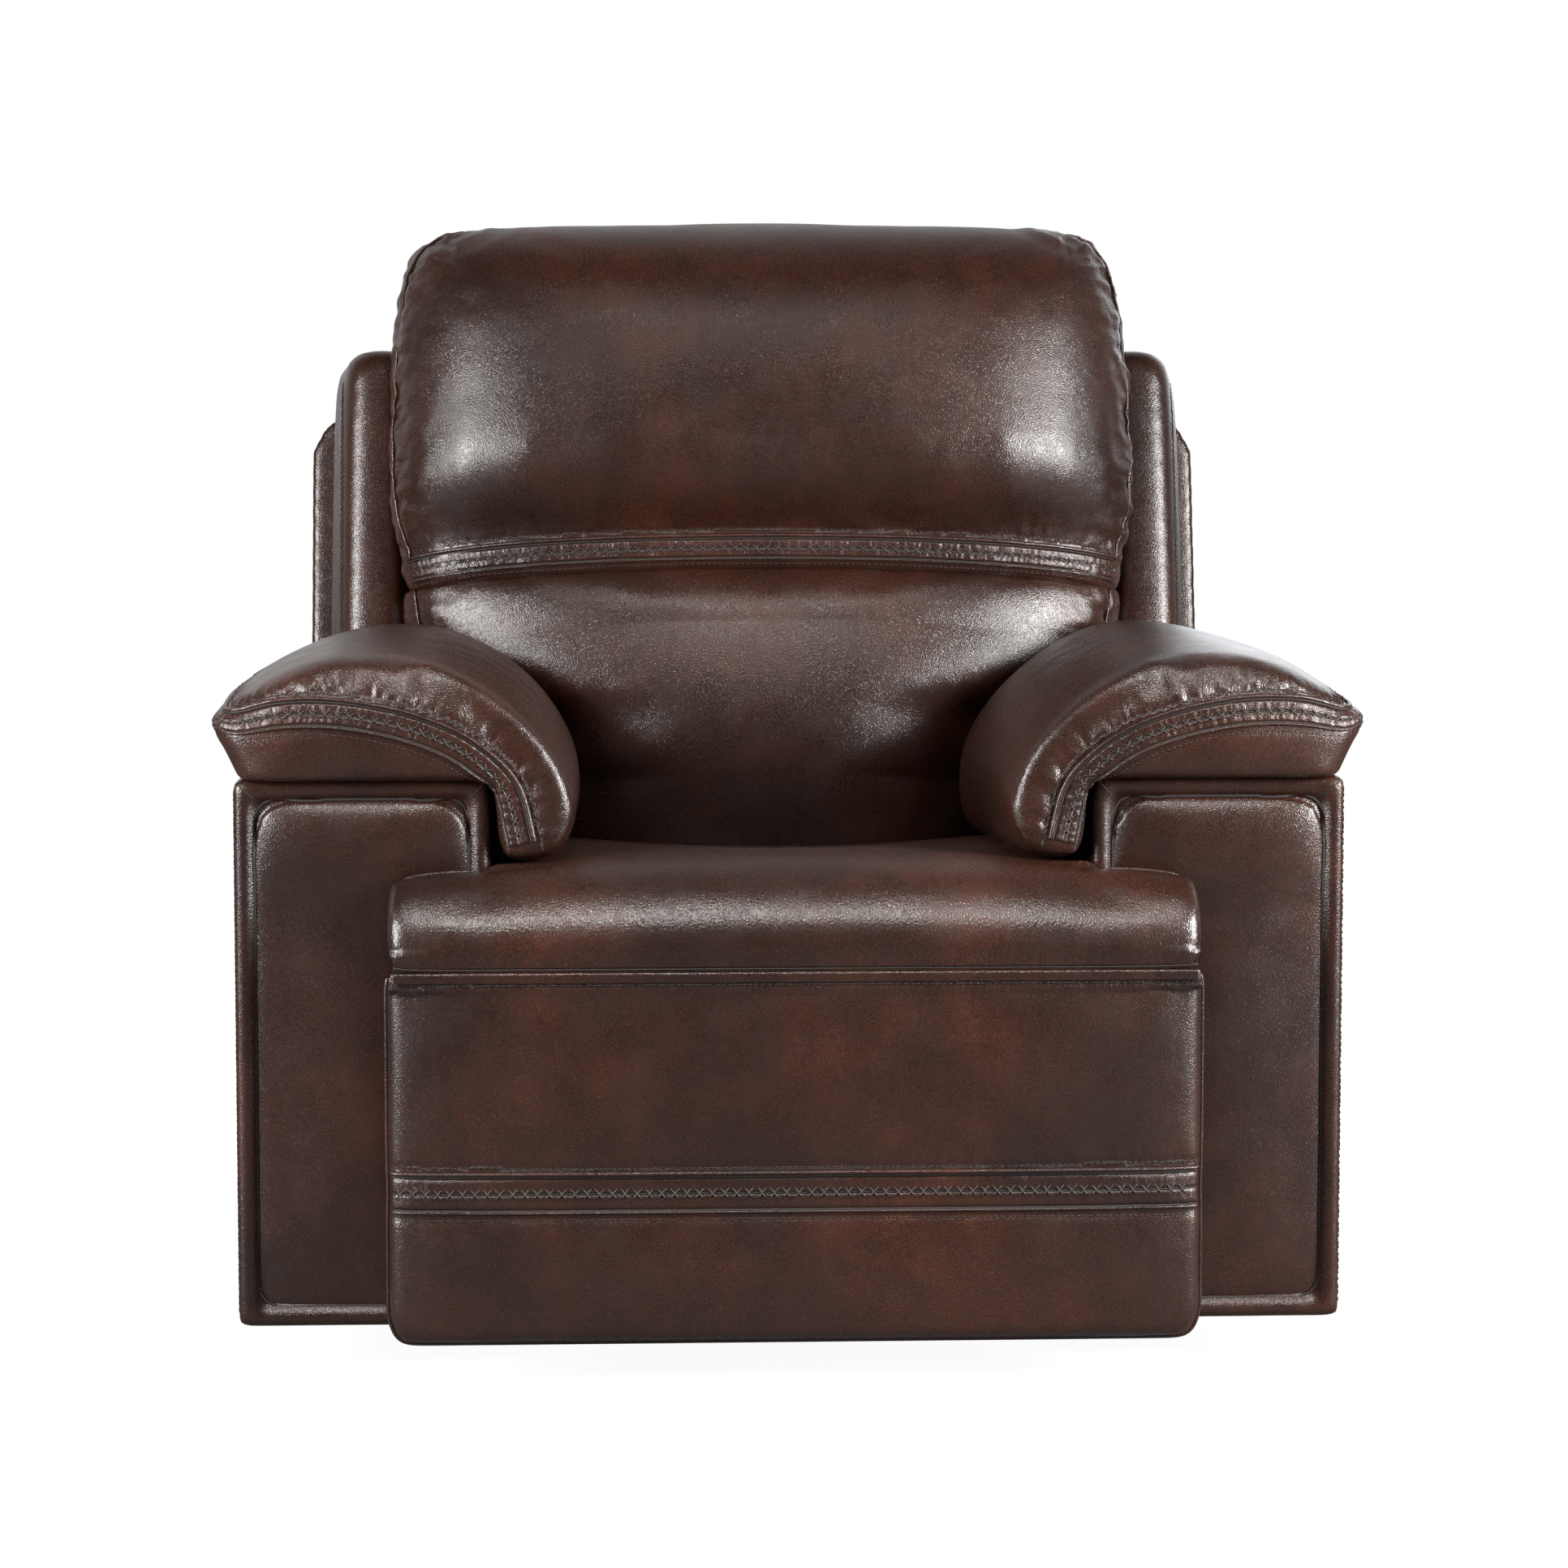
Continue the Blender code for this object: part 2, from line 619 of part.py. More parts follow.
# Arm pads: thick pillows on top of the boxes that roll down over the inner side
def pad_section(y):
    """Section of the right pad: the drape follows the seat, the crest falls to both ends."""
    s = (y - PAD_FRONT_Y) / (PAD_REAR_Y - PAD_FRONT_Y)
    hang = seat_edge_z(y) + 0.0125 + 0.004 * s
    crest = PAD_CREST_Z - 0.012 * (1 - s) ** 3 - 0.010 * s * s
    inner = 0.188
    keys = [
        (ARM_INNER_X - SOFT_GAP - 0.004, hang), (inner + 0.020, hang + 0.004),
        (inner + 0.003, hang + 0.030), (inner, crest - 0.133), (inner + 0.013, crest - 0.096),
        (inner + 0.038, crest - 0.060), (inner + 0.074, crest - 0.028), (inner + 0.116, crest - 0.006),
        (0.350, crest), (0.395, crest - 0.001), (0.435, crest - 0.010), (0.470, crest - 0.027),
        (0.498, crest - 0.048),
        (PAD_OUTER_X, PAD_TIP_Z), (PAD_OUTER_X - 0.006, PAD_TIP_Z - 0.022),
        (ARM_OUTER_X - 0.003, ARM_TOP_Z + GAP),
    ]
    curve = []
    for i in range(len(keys) - 1):
        p0, p1 = Vector(keys[max(i - 1, 0)]), Vector(keys[i])
        p2, p3 = Vector(keys[i + 1]), Vector(keys[min(i + 2, len(keys) - 1)])
        for k in range(2):
            t = k / 2
            curve.append(0.5 * (
                2 * p1 + (p2 - p0) * t + (2 * p0 - 5 * p1 + 4 * p2 - p3) * t * t
                + (3 * p1 - p0 - 3 * p2 + p3) * t ** 3
            ))
    curve.append(Vector(keys[-1]))
    curve.append(Vector((ARM_INNER_X - SOFT_GAP, ARM_TOP_Z + GAP)))
    return curve


def pad_tail(x):
    """How much farther back the pad reaches at x: past the lumbar cushion, up to the wing."""
    s = min(max((x - 0.255) / 0.125, 0.0), 1.0)
    return 0.095 * s * s * (3 - 2 * s)


for name, side in SIDES:
    corner = Vector((ARM_INNER_X - SOFT_GAP, ARM_TOP_Z + GAP))
    rings = []
    for w in eased(12):
        y = (PAD_FRONT_Y + PAD_REAR_Y) / 2 + w * (PAD_REAR_Y - PAD_FRONT_Y) / 2
        ease = 0.88 + 0.12 * dome(w, 22)
        ring = [corner + (p - corner) * ease for p in pad_section(y)]
        rings.append([(side * p.x, y + pad_tail(p.x) * max(w, 0.0) ** 2, p.y) for p in ring])
    place(f"arm_pad_{name}", loft(rings), LEATHER, chassis)

# Rear skirt between the arms, below the swing of the back
skirt_half = ARM_INNER_X - GAP
skirt = place(
    "rear_skirt",
    box(-skirt_half, skirt_half, ARM_REAR_Y - 0.030, ARM_REAR_Y - 0.014, FLOOR_GAP + 0.010, 0.290),
    LEATHER_DARK, chassis,
)
bevel(skirt, 0.005)

# Control plate with two push buttons, let into the outer face of the left arm
pocket = box(
    -ARM_OUTER_X - 0.010, -ARM_OUTER_X + 0.009,
    PANEL_Y - PANEL_L / 2 + 0.008, PANEL_Y + PANEL_L / 2 - 0.008,
    PANEL_Z - PANEL_W / 2 + 0.008, PANEL_Z + PANEL_W / 2 - 0.008,
)
combine(arms["left"], helper("control_pocket", pocket), "DIFFERENCE")


def rounded_rect(y, z, half_y, half_z, radius, count=4):
    points = []
    for k, (sy, sz) in enumerate(((1, 1), (-1, 1), (-1, -1), (1, -1))):
        for i in range(count + 1):
            a = math.pi / 2 * (k + i / count)
            points.append((
                y + sy * (half_y - radius) + radius * math.cos(a),
                z + sz * (half_z - radius) + radius * math.sin(a),
            ))
    return points


def framed(outline, openings, x0, x1):
    """Flat plate between two X planes with openings of any outline."""
    bm = bmesh.new()
    rims = []
    for x in (x0, x1):
        loops = [[bm.verts.new((x, p[0], p[1])) for p in ring] for ring in (outline, *openings)]
        flat = [v for loop in loops for v in loop]
        polys = [[Vector((v.co.y, v.co.z, 0.0)) for v in loop] for loop in loops]
        for tri in tessellate_polygon(polys):
            bm.faces.new([flat[i] for i in tri])
        rims.append(loops)
    for a, b in zip(*rims):
        for i in range(len(a)):
            j = (i + 1) % len(a)
            bm.faces.new((a[i], a[j], b[j], b[i]))
    return bm


BUTTONS = (("recline", PANEL_Y - BUTTON_PITCH / 2), ("upright", PANEL_Y + BUTTON_PITCH / 2))
place(
    "control_plate",
    framed(
        rounded_rect(PANEL_Y, PANEL_Z, PANEL_L / 2, PANEL_W / 2, 0.010),
        [
            rounded_rect(
                y, PANEL_Z, BUTTON_L / 2 + BUTTON_GAP, BUTTON_W / 2 + BUTTON_GAP, 0.004 + BUTTON_GAP,
            )
            for _, y in BUTTONS
        ],
        -ARM_OUTER_X - GAP - PANEL_T, -ARM_OUTER_X - GAP,
    ),
    PLASTIC, chassis,
)
for label, y in BUTTONS:
    axis = empty(f"button_{label}_axis", y, PANEL_Z)
    rings = []
    for depth, shrink in ((0.0018, 0.0016), (0.0008, 0.0003), (-0.0040, 0.0)):
        x = -ARM_OUTER_X - GAP - PANEL_T - depth
        ring = rounded_rect(y, PANEL_Z, BUTTON_L / 2 - shrink, BUTTON_W / 2 - shrink, 0.004)
        rings.append([(x, p[0], p[1]) for p in ring])
    place(f"button_{label}", loft(rings), PLASTIC, axis)

# Actuator: gear motor on the rear tube, a track up to the front rail, a slider on the track
CHORD = Vector((DRIVE_OPEN[0] - DRIVE[0], DRIVE_OPEN[1] - DRIVE[1]))
RISE = math.atan2(CHORD.y, -CHORD.x)
TRACK_OFFSET = 0.034       # track above the drive tube, square to its path
TRACK_HALF_W = 0.014
TRACK_HALF_H = 0.010
MOTOR_HALF_W = 0.036
MOTOR_L = 0.094
MOTOR_H = 0.068


def along(s, n):
    """Point at s ahead of the drive tube's rest along the track and n above it."""
    return (
        DRIVE[0] - s * math.cos(RISE) + n * math.sin(RISE),
        DRIVE[1] + s * math.sin(RISE) + n * math.cos(RISE),
    )


def track_box(x0, x1, s0, s1, n0, n1):
    ring = [along(s0, n0), along(s1, n0), along(s1, n1), along(s0, n1)]
    return loft([[(x, p[0], p[1]) for p in ring] for x in (x0, x1)])


tube_s = (DRIVE[0] - REAR_TUBE[0]) * math.cos(RISE) + (REAR_TUBE[1] - DRIVE[1]) * math.sin(RISE)
motor_end = tube_s + TUBE_R + GAP
track_low = TRACK_OFFSET - TRACK_HALF_H
rail_back_y = RAIL_FRONT_Y + RAIL_W + GAP
track_front = (DRIVE[0] + track_low * math.sin(RISE) - rail_back_y) / math.cos(RISE)
place(
    "actuator_track",
    track_box(
        -TRACK_HALF_W, TRACK_HALF_W, motor_end + MOTOR_L + GAP, track_front,
        track_low, TRACK_OFFSET + TRACK_HALF_H,
    ),
    STEEL_ZINC, chassis,
)
motor = place(
    "motor_housing",
    track_box(-MOTOR_HALF_W, MOTOR_HALF_W, motor_end, motor_end + MOTOR_L, 0.0, MOTOR_H),
    PLASTIC, chassis,
)
bevel(motor, 0.008, 2)

slider_axis = empty("actuator_axis", *DRIVE)
FORK_GAP = DRIVE_TUBE_R + 0.0042
FORK_T = 0.006
FORK_LOW = -0.050
BLOCK_HALF = 0.030
block_low = track_low - 0.006
block_high = TRACK_OFFSET + TRACK_HALF_H + 0.006
fork = [
    (-BLOCK_HALF, block_high), (BLOCK_HALF, block_high), (BLOCK_HALF, block_low),
    (FORK_GAP + FORK_T, block_low), (FORK_GAP + FORK_T, FORK_LOW), (FORK_GAP, FORK_LOW),
    (FORK_GAP, block_low), (-FORK_GAP, block_low), (-FORK_GAP, FORK_LOW),
    (-FORK_GAP - FORK_T, FORK_LOW), (-FORK_GAP - FORK_T, block_low), (-BLOCK_HALF, block_low),
]
ring = [along(*p) for p in fork]
slider = place(
    "actuator_slider",
    loft([[(x, p[0], p[1]) for p in ring] for x in (-0.022, 0.022)]),
    PLASTIC, slider_axis,
)
combine(
    slider,
    helper(
        "slider_bore",
        track_box(
            -TRACK_HALF_W - GAP, TRACK_HALF_W + GAP, -2 * BLOCK_HALF, 2 * BLOCK_HALF,
            track_low - GAP, TRACK_OFFSET + TRACK_HALF_H + GAP,
        ),
    ),
    "DIFFERENCE",
)

# Legrest linkage: swing links, carriers, tilt links and the tube that the slider pushes
for name, side in SIDES:
    low_end = CARRIER_X - 0.0005
    place(
        f"legrest_swing_front_{name}",
        plate(
            bar([LEG_A, LEG_D], LINK_HALF), LEG_LINK_X, LEG_LINK_X + PLATE,
            holes=[(*LEG_A, RIVET_R + PIVOT_GAP)],
            studs=[(*LEG_B, RIVET_R, low_end), (*LEG_D, RIVET_R, TILT_X - 0.0005)],
            side=side,
        ),
        STEEL_BLACK, leg_front,
    )
    place(
        f"legrest_swing_rear_{name}",
        plate(
            bar([LEG_A2, LEG_B2], LINK_HALF), LEG_LINK_X, LEG_LINK_X + PLATE,
            holes=[(*LEG_A2, RIVET_R + PIVOT_GAP)],
            studs=[(*LEG_B2, RIVET_R, low_end)],
            side=side,
        ),
        STEEL_BLACK, leg_rear,
    )
    place(
        f"legrest_carrier_{name}",
        plate(
            bar([LEG_B2, LEG_B, LEG_C], LINK_HALF), CARRIER_X, CARRIER_X + PLATE,
            holes=[(*LEG_B2, RIVET_R + PIVOT_GAP), (*LEG_B, RIVET_R + PIVOT_GAP)],
            studs=[(*LEG_C, RIVET_R, LEG_LINK_X + PLATE + 0.0005)],
            side=side,
        ),
        STEEL_BLACK, leg_carry,
    )
    place(
        f"legrest_tilt_{name}",
        plate(
            bar([LEG_D, LEG_E], 0.009), TILT_X, TILT_X + PLATE,
            holes=[(*LEG_D, RIVET_R + PIVOT_GAP), (*LEG_E, RIVET_R + PIVOT_GAP)],
            side=side,
        ),
        STEEL_ZINC, leg_tilt,
    )
    mount_y = T_REAR_Y + GAP
    outline = [
        (mount_y, LEG_C[1] + 0.060), (mount_y, LEG_E[1] - 0.030), (LEG_E[0] - 0.004, LEG_E[1] - 0.012),
        (LEG_E[0] + 0.011, LEG_E[1] - 0.004), (LEG_E[0] + 0.011, LEG_E[1] + 0.008),
        (LEG_C[0] + 0.013, LEG_C[1] - 0.004), (LEG_C[0] + 0.010, LEG_C[1] + 0.012),
    ]
    place(
        f"legrest_bracket_{name}",
        plate(
            outline, LEG_LINK_X, LEG_LINK_X + PLATE,
            holes=[(*LEG_C, RIVET_R + PIVOT_GAP)],
            studs=[(*LEG_E, RIVET_R, TILT_X - 0.0005)],
            side=side,
        ),
        STEEL_BLACK, leg_panel,
    )

place(
    "drive_tube", rod(-LEG_LINK_X + GAP, LEG_LINK_X - GAP, *DRIVE, DRIVE_TUBE_R), STEEL_ZINC, leg_rear,
)

# Legrest: plywood board with a thick leather pad, flat band of stitching across the pad
board_front = T_REAR_Y - BOARD_T
board = place(
    "legrest_board",
    box(-T_HALF + 0.014, T_HALF - 0.014, board_front, T_REAR_Y, LEG_LOW_Z + 0.014, LEG_TOP_Z - 0.014),
    PLYWOOD, leg_panel,
)
bevel(board, 0.003)


def leg_point(u, w):
    z = (LEG_LOW_Z + LEG_TOP_Z) / 2 + w * (LEG_TOP_Z - LEG_LOW_Z) / 2
    half = rounded_half(T_HALF, LEG_LOW_Z - 0.010, LEG_TOP_Z + 0.030, 0.034, z)
    full = dome(u, 14) * dome(w, 26)
    groove = notch(z, LEG_BAND_Z[0], 0.010) + notch(z, LEG_BAND_Z[1], 0.010)
    edge = board_front - LEG_RIM
    rise = edge - SEAT_FRONT_Y
    return Vector((half * u, edge - rise * full + 0.004 * groove * full, z))


middle = (LEG_LOW_Z + LEG_TOP_Z) / 2
reach = (LEG_TOP_Z - LEG_LOW_Z) / 2
band_rows = [
    (z + d - middle) / reach for z in LEG_BAND_Z for d in (-0.012, 0.0, 0.012)
]
leg_rows = sorted(eased(12) + band_rows)
place(
    "legrest_pad",
    pillow(
        eased(14), leg_rows, leg_point,
        [lambda p: Vector((p.x, board_front - GAP, p.z))],
    ),
    LEATHER, leg_panel,
)

# Back: built in its own upright frame, x across, y behind the pivot, z up the back
def lumbar_half(v):
    """Half width of the lumbar cushion: tucked between the arms below, up to the wings above them."""
    s = min(max((v - LOWER_TOP) / 0.018, 0.0), 1.0)
    wide = WING_INNER - WING_GAP - SIDE_TAPER * (BACK_SPLIT - v)
    return LOWER_HALF + (wide - LOWER_HALF) * s


def head_half(v):
    """Half width of the head cushion: starts between the wings, then stands in front of them."""
    start = WING_INNER - WING_GAP
    return start + (BACK_HALF - start) * min((v - BACK_SPLIT) / HEAD_SPREAD, 1.0)


def split_line(u):
    return BACK_SPLIT - BACK_SPLIT_DROP * u * u


LUMBAR_LOW = -0.100
LUMBAR_BULGE = 0.024
LUMBAR_ROWS = [
    -1.0, -0.985, -0.93, -0.84, -0.70, -0.51, -0.32, -0.08, 0.12, 0.295, 0.381, 0.533, 0.68, 0.82, 0.93, 1.0,
]


def lumbar_point(u, w):
    top = split_line(u) - SOFT_GAP
    v = LUMBAR_LOW + (top - LUMBAR_LOW) * (w + 1) / 2
    half = lumbar_half(v)
    x = half * u
    if v < 0.0:
        front = -math.sqrt(max(BACK_ARC ** 2 - v * v, 0.0))
    else:
        front = -BACK_ARC - LUMBAR_BULGE * math.sin(math.pi * min(v / (BACK_SPLIT - 0.014), 1.0)) ** 1.2
    roll_start = BACK_SPLIT - 0.064
    seam = max((v - roll_start) / (top - roll_start), 0.0)
    front += 0.014 * seam ** 3
    edge = -0.012 if v > LOWER_TOP - 0.003 else max(front, -0.035)
    if v <= 0.0:
        edge = max(front, -0.030)
    full = dome(x / half, 2.6)
    return Vector((x, edge + (front - edge) * full, v))


def wing_under(t):
    """Lower limit, behind the pivot plane, of all that stands wider than the gap between the arms."""
    return WING_LOW + (WING_LOW_REAR - WING_LOW) * max(t, 0.0) / (BOARD_FRONT_T + BOARD_T)


def back_skirt(scale_x, scale_v, mid_v, t):
    return lambda p: Vector((p.x * scale_x, t, mid_v + (p.z - mid_v) * scale_v))


def lumbar_skirt(scale_v, t):
    """Rear ring of the lumbar cushion, its wide part kept above the swing over the arms."""
    plain = back_skirt(1.0, scale_v, 0.10, t)

    def move(p):
        q = plain(p)
        if abs(p.x) > LOWER_HALF + 0.001:
            q.z = max(q.z, wing_under(t) + 0.002)
        elif abs(p.x) > LOWER_HALF - 0.001 and p.z > 0.160:
            q.z = wing_under(t) + 0.001
        return q
    return move


place(
    "back_cushion_lumbar",
    pillow(
        eased(14), LUMBAR_ROWS, lumbar_point,
        [
            lambda p: Vector((p.x, max(p.y, -0.0080), p.z)),
            lumbar_skirt(0.97, 0.0300),
            lumbar_skirt(0.92, BOARD_FRONT_T - GAP),
        ],
    ),
    LEATHER, back, local=True,
)


def head_point(u, w):
    low = split_line(u)
    high = BACK_TOP - 0.012 * u * u
    v = low + (high - low) * (w + 1) / 2
    narrow = BACK_HALF - 0.010 * min(max((v - 0.48) / 0.14, 0.0), 1.0)
    half = min(head_half(v), rounded_half(narrow, 0.0, BACK_TOP, 0.078, v))
    band = (v - low) / BACK_BAND
    bulge = 0.150 - 0.030 * max((v - 0.46) / (BACK_TOP - 0.46), 0.0) ** 2
    rest = 0.088 + 0.004 * notch(band, 0.5, 0.3)
    if band < 1.0:
        depth = rest
    else:
        s = min((v - low - BACK_BAND) / HEAD_RISE, 1.0)
        depth = rest + (bulge - rest) * math.sin(s * math.pi / 2)
    top = dome((v - 0.45) / (BACK_TOP - 0.45), 5) if v > 0.45 else 1.0
    full = dome(u, 4.5) * top
    return Vector((half * u, -0.012 - (depth - 0.012) * full, v))


HEAD_ROWS = [
    -1.0, -0.95, -0.88, -0.81, -0.77, -0.70, -0.61, -0.50, -0.35, -0.15, 0.10, 0.35, 0.58, 0.76, 0.89, 0.97,
    1.0,
]
core_scale = (WING_INNER - CORE_GAP) / BACK_HALF
place(
    "back_cushion_head",
    pillow(
        eased(14), HEAD_ROWS, head_point,
        [
            lambda p: Vector((p.x, -0.0080, p.z)),
            back_skirt(core_scale, 0.985, 0.45, -0.0030),
            back_skirt(core_scale, 0.940, 0.45, BOARD_FRONT_T - GAP),
        ],
    ),
    LEATHER, back, local=True,
)

# Back board: plywood, narrow between the arms, wide above them
board_half = WING_INNER - GAP
board_top = board_half - 0.045
outline = [
    (-0.262, 0.020), (0.262, 0.020), (0.262, 0.234), (board_half, 0.236), (board_half, 0.560),
    (board_top, 0.640), (-board_top, 0.640), (-board_half, 0.560), (-board_half, 0.236), (-0.262, 0.234),
]
place(
    "back_board",
    loft([[(p[0], t, p[1]) for p in outline] for t in (BOARD_FRONT_T, BOARD_FRONT_T + BOARD_T)]),
    PLYWOOD, back, local=True,
)

# Recline brackets: steel plates from the recline rivets to the back board
for name, side in SIDES:
    outline = [
        (-0.018, -0.006), (-0.012, 0.016), (0.004, 0.022), (0.060, 0.050),
        (BOARD_FRONT_T - GAP, 0.150), (BOARD_FRONT_T - GAP, 0.024), (0.020, -0.012), (0.004, -0.019),
        (-0.012, -0.016),
    ]
    place(
        f"back_bracket_{name}",
        plate(
            outline, BRACKET_X, BRACKET_X + PLATE,
            holes=[(0.0, 0.0, RIVET_R + 0.001 + PIVOT_GAP)], side=side,
        ),
        STEEL_BLACK, back, local=True,
    )

# Wings: padded side bolsters of the back, standing just clear of the arms
def wing_section(outer, front, rear):
    points = [(WING_INNER, rear), (WING_INNER, front + 0.016), (WING_INNER + 0.008, front + 0.004)]
    points.append((WING_INNER + 0.022, front))
    nose = outer - 0.036
    for i in range(6):
        a = math.pi / 2 * i / 5
        points.append((nose + 0.026 * math.sin(a), front + 0.040 * (1 - math.cos(a))))
    points.append((outer - 0.001, front + 0.075))
    points.append((outer, rear - 0.040))
    for i in range(1, 5):
        a = math.pi / 2 * i / 4
        points.append((outer - 0.024 * (1 - math.cos(a)), rear - 0.030 + 0.030 * math.sin(a)))
    return points


for name, side in SIDES:
    rings = []
    rear = BOARD_FRONT_T + BOARD_T
    for v, draw_in, front in (
        (WING_LOW, 0.004, 0.004), (WING_LOW + 0.008, 0.0, 0.0), (0.290, 0.0, 0.0),
        (0.400, 0.001, 0.0), (0.490, 0.002, 0.0), (WING_TOP - 0.030, 0.004, 0.002),
        (WING_TOP - 0.010, 0.008, 0.008), (WING_TOP, 0.018, 0.020),
    ):
        ring = wing_section(WING_OUTER - draw_in, front, rear)
        lift = max(0.0, 1.0 - (v - WING_LOW) / 0.08)
        rings.append([(side * p[0], p[1], v + (wing_under(p[1]) - WING_LOW) * lift) for p in ring])
    place(f"back_wing_{name}", loft(rings), LEATHER, back, local=True)

# Outside back: crowned rear panel, narrow between the arms, past the wings above, in at the top
SHELL_STEP = (0.193, 0.238)      # widening above the arms
SHELL_SHOULDER = (0.490, 0.610)  # drawing in above the wings
SHELL_CORNER = 0.050


def shell_half(v):
    if v < SHELL_SHOULDER[0]:
        s = min(max((v - SHELL_STEP[0]) / (SHELL_STEP[1] - SHELL_STEP[0]), 0.0), 1.0)
        return SHELL_NARROW + (SHELL_HALF - SHELL_NARROW) * s
    s = min((v - SHELL_SHOULDER[0]) / (SHELL_SHOULDER[1] - SHELL_SHOULDER[0]), 1.0)
    half = SHELL_HALF + (SHELL_TOP_HALF - SHELL_HALF) * s * s * (3 - 2 * s)
    return rounded_half(half, SHELL_LOW - SHELL_CORNER, SHELL_TOP + 0.006, SHELL_CORNER, v)


def shell_point(u, w):
    v = (SHELL_LOW + SHELL_TOP) / 2 + w * (SHELL_TOP - SHELL_LOW) / 2
    full = dome(u, 6) * dome(w, 10)
    rim = SHELL_FRONT_T + 0.010
    return Vector((-shell_half(v) * u, rim + (SHELL_REAR_T - rim) * full, v))


shell_mid = (SHELL_LOW + SHELL_TOP) / 2
shell_reach = (SHELL_TOP - SHELL_LOW) / 2
shell_rows = sorted(
    eased(12) + [(v - shell_mid) / shell_reach for v in (*SHELL_STEP, 0.490, 0.515, 0.545, 0.575, 0.605)]
)
place(
    "outside_back",
    pillow(
        eased(12), shell_rows, shell_point,
        [lambda p: Vector((p.x, SHELL_FRONT_T, p.z))],
    ),
    LEATHER, back, local=True,
)
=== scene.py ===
import json
import math
from collections import namedtuple

import bmesh
import bpy
import numpy as np
from mathutils import Matrix, Vector, noise
from mathutils.bvhtree import BVHTree
from mathutils.kdtree import KDTree


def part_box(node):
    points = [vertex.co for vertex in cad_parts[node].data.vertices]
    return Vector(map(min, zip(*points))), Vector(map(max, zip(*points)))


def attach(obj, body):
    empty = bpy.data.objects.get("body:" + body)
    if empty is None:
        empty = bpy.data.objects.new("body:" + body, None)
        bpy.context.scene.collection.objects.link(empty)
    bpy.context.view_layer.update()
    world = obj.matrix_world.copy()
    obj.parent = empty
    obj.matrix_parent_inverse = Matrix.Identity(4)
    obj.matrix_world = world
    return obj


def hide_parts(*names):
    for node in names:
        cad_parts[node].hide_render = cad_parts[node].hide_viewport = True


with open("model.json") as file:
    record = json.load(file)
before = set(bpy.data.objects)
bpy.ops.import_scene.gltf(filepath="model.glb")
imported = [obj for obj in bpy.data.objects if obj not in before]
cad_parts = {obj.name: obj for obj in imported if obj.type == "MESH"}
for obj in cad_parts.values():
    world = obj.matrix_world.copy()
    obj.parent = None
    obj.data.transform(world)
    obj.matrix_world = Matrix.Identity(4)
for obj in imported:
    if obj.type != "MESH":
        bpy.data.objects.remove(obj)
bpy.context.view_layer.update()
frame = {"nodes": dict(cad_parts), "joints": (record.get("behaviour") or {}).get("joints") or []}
scene = bpy.context.scene

# Base on the floor: two box-section rails on moulded glides, tied by cross bars, with two posts that hang
# the glider. Mild steel, cut and welded, powder coated satin black. The coat is rubbed thin in places.


def add_node(tree, kind, inputs=None, **settings):
    """A shader node with its settings and inputs: numbers, colours or other nodes' sockets."""
    made = tree.nodes.new("ShaderNode" + kind)
    for key, value in settings.items():
        setattr(made, key, value)
    for key, value in (inputs or {}).items():
        if isinstance(value, bpy.types.NodeSocket):
            tree.links.new(value, made.inputs[key])
        else:
            made.inputs[key].default_value = value
    return made


def mix_colours(tree, share, first, second):
    made = add_node(tree, "Mix", {0: share, 6: first, 7: second}, data_type="RGBA")
    return made.outputs[2]


def calculate(tree, operation, first, second):
    return add_node(tree, "Math", {0: first, 1: second}, operation=operation).outputs[0]


def spread(tree, value, low, high, to_low=0.0, to_high=1.0):
    """A value's range from low to high, eased and stretched to another range."""
    ranges = {0: value, 1: low, 2: high, 3: to_low, 4: to_high}
    return add_node(tree, "MapRange", ranges, interpolation_type="SMOOTHSTEP").outputs[0]


def new_effect(name, inputs, outputs):
    """An empty node group with named inputs and outputs."""
    group = bpy.data.node_groups.new(name, "ShaderNodeTree")
    for key, (kind, value) in inputs.items():
        socket = group.interface.new_socket(key, in_out="INPUT", socket_type="NodeSocket" + kind)
        socket.default_value = value
    for key, kind in outputs.items():
        group.interface.new_socket(key, in_out="OUTPUT", socket_type="NodeSocket" + kind)
    return group, group.nodes.new("NodeGroupInput").outputs, group.nodes.new("NodeGroupOutput").inputs


def use_effect(tree, group, inputs=None):
    made = tree.nodes.new("ShaderNodeGroup")
    made.node_tree = group
    for key, value in (inputs or {}).items():
        if isinstance(value, bpy.types.NodeSocket):
            tree.links.new(value, made.inputs[key])
        else:
            made.inputs[key].default_value = value
    return made.outputs


def new_finish(name, colour, rough, metal=0.0):
    """A material with its shader's plain values set; returns it with its tree and shader."""
    finish = bpy.data.materials.new(name)
    finish.use_nodes = True
    tree = finish.node_tree
    shader = tree.nodes["Principled BSDF"]
    shader.inputs["Base Color"].default_value = (*colour, 1.0)
    shader.inputs["Roughness"].default_value = rough
    shader.inputs["Metallic"].default_value = metal
    finish.diffuse_color = (*colour, 1.0)
    return finish, tree, shader


def add_bump(tree, shader, height, strength, depth):
    made = add_node(tree, "Bump", {"Height": height, "Strength": strength, "Distance": depth})
    tree.links.new(made.outputs["Normal"], shader.inputs["Normal"])


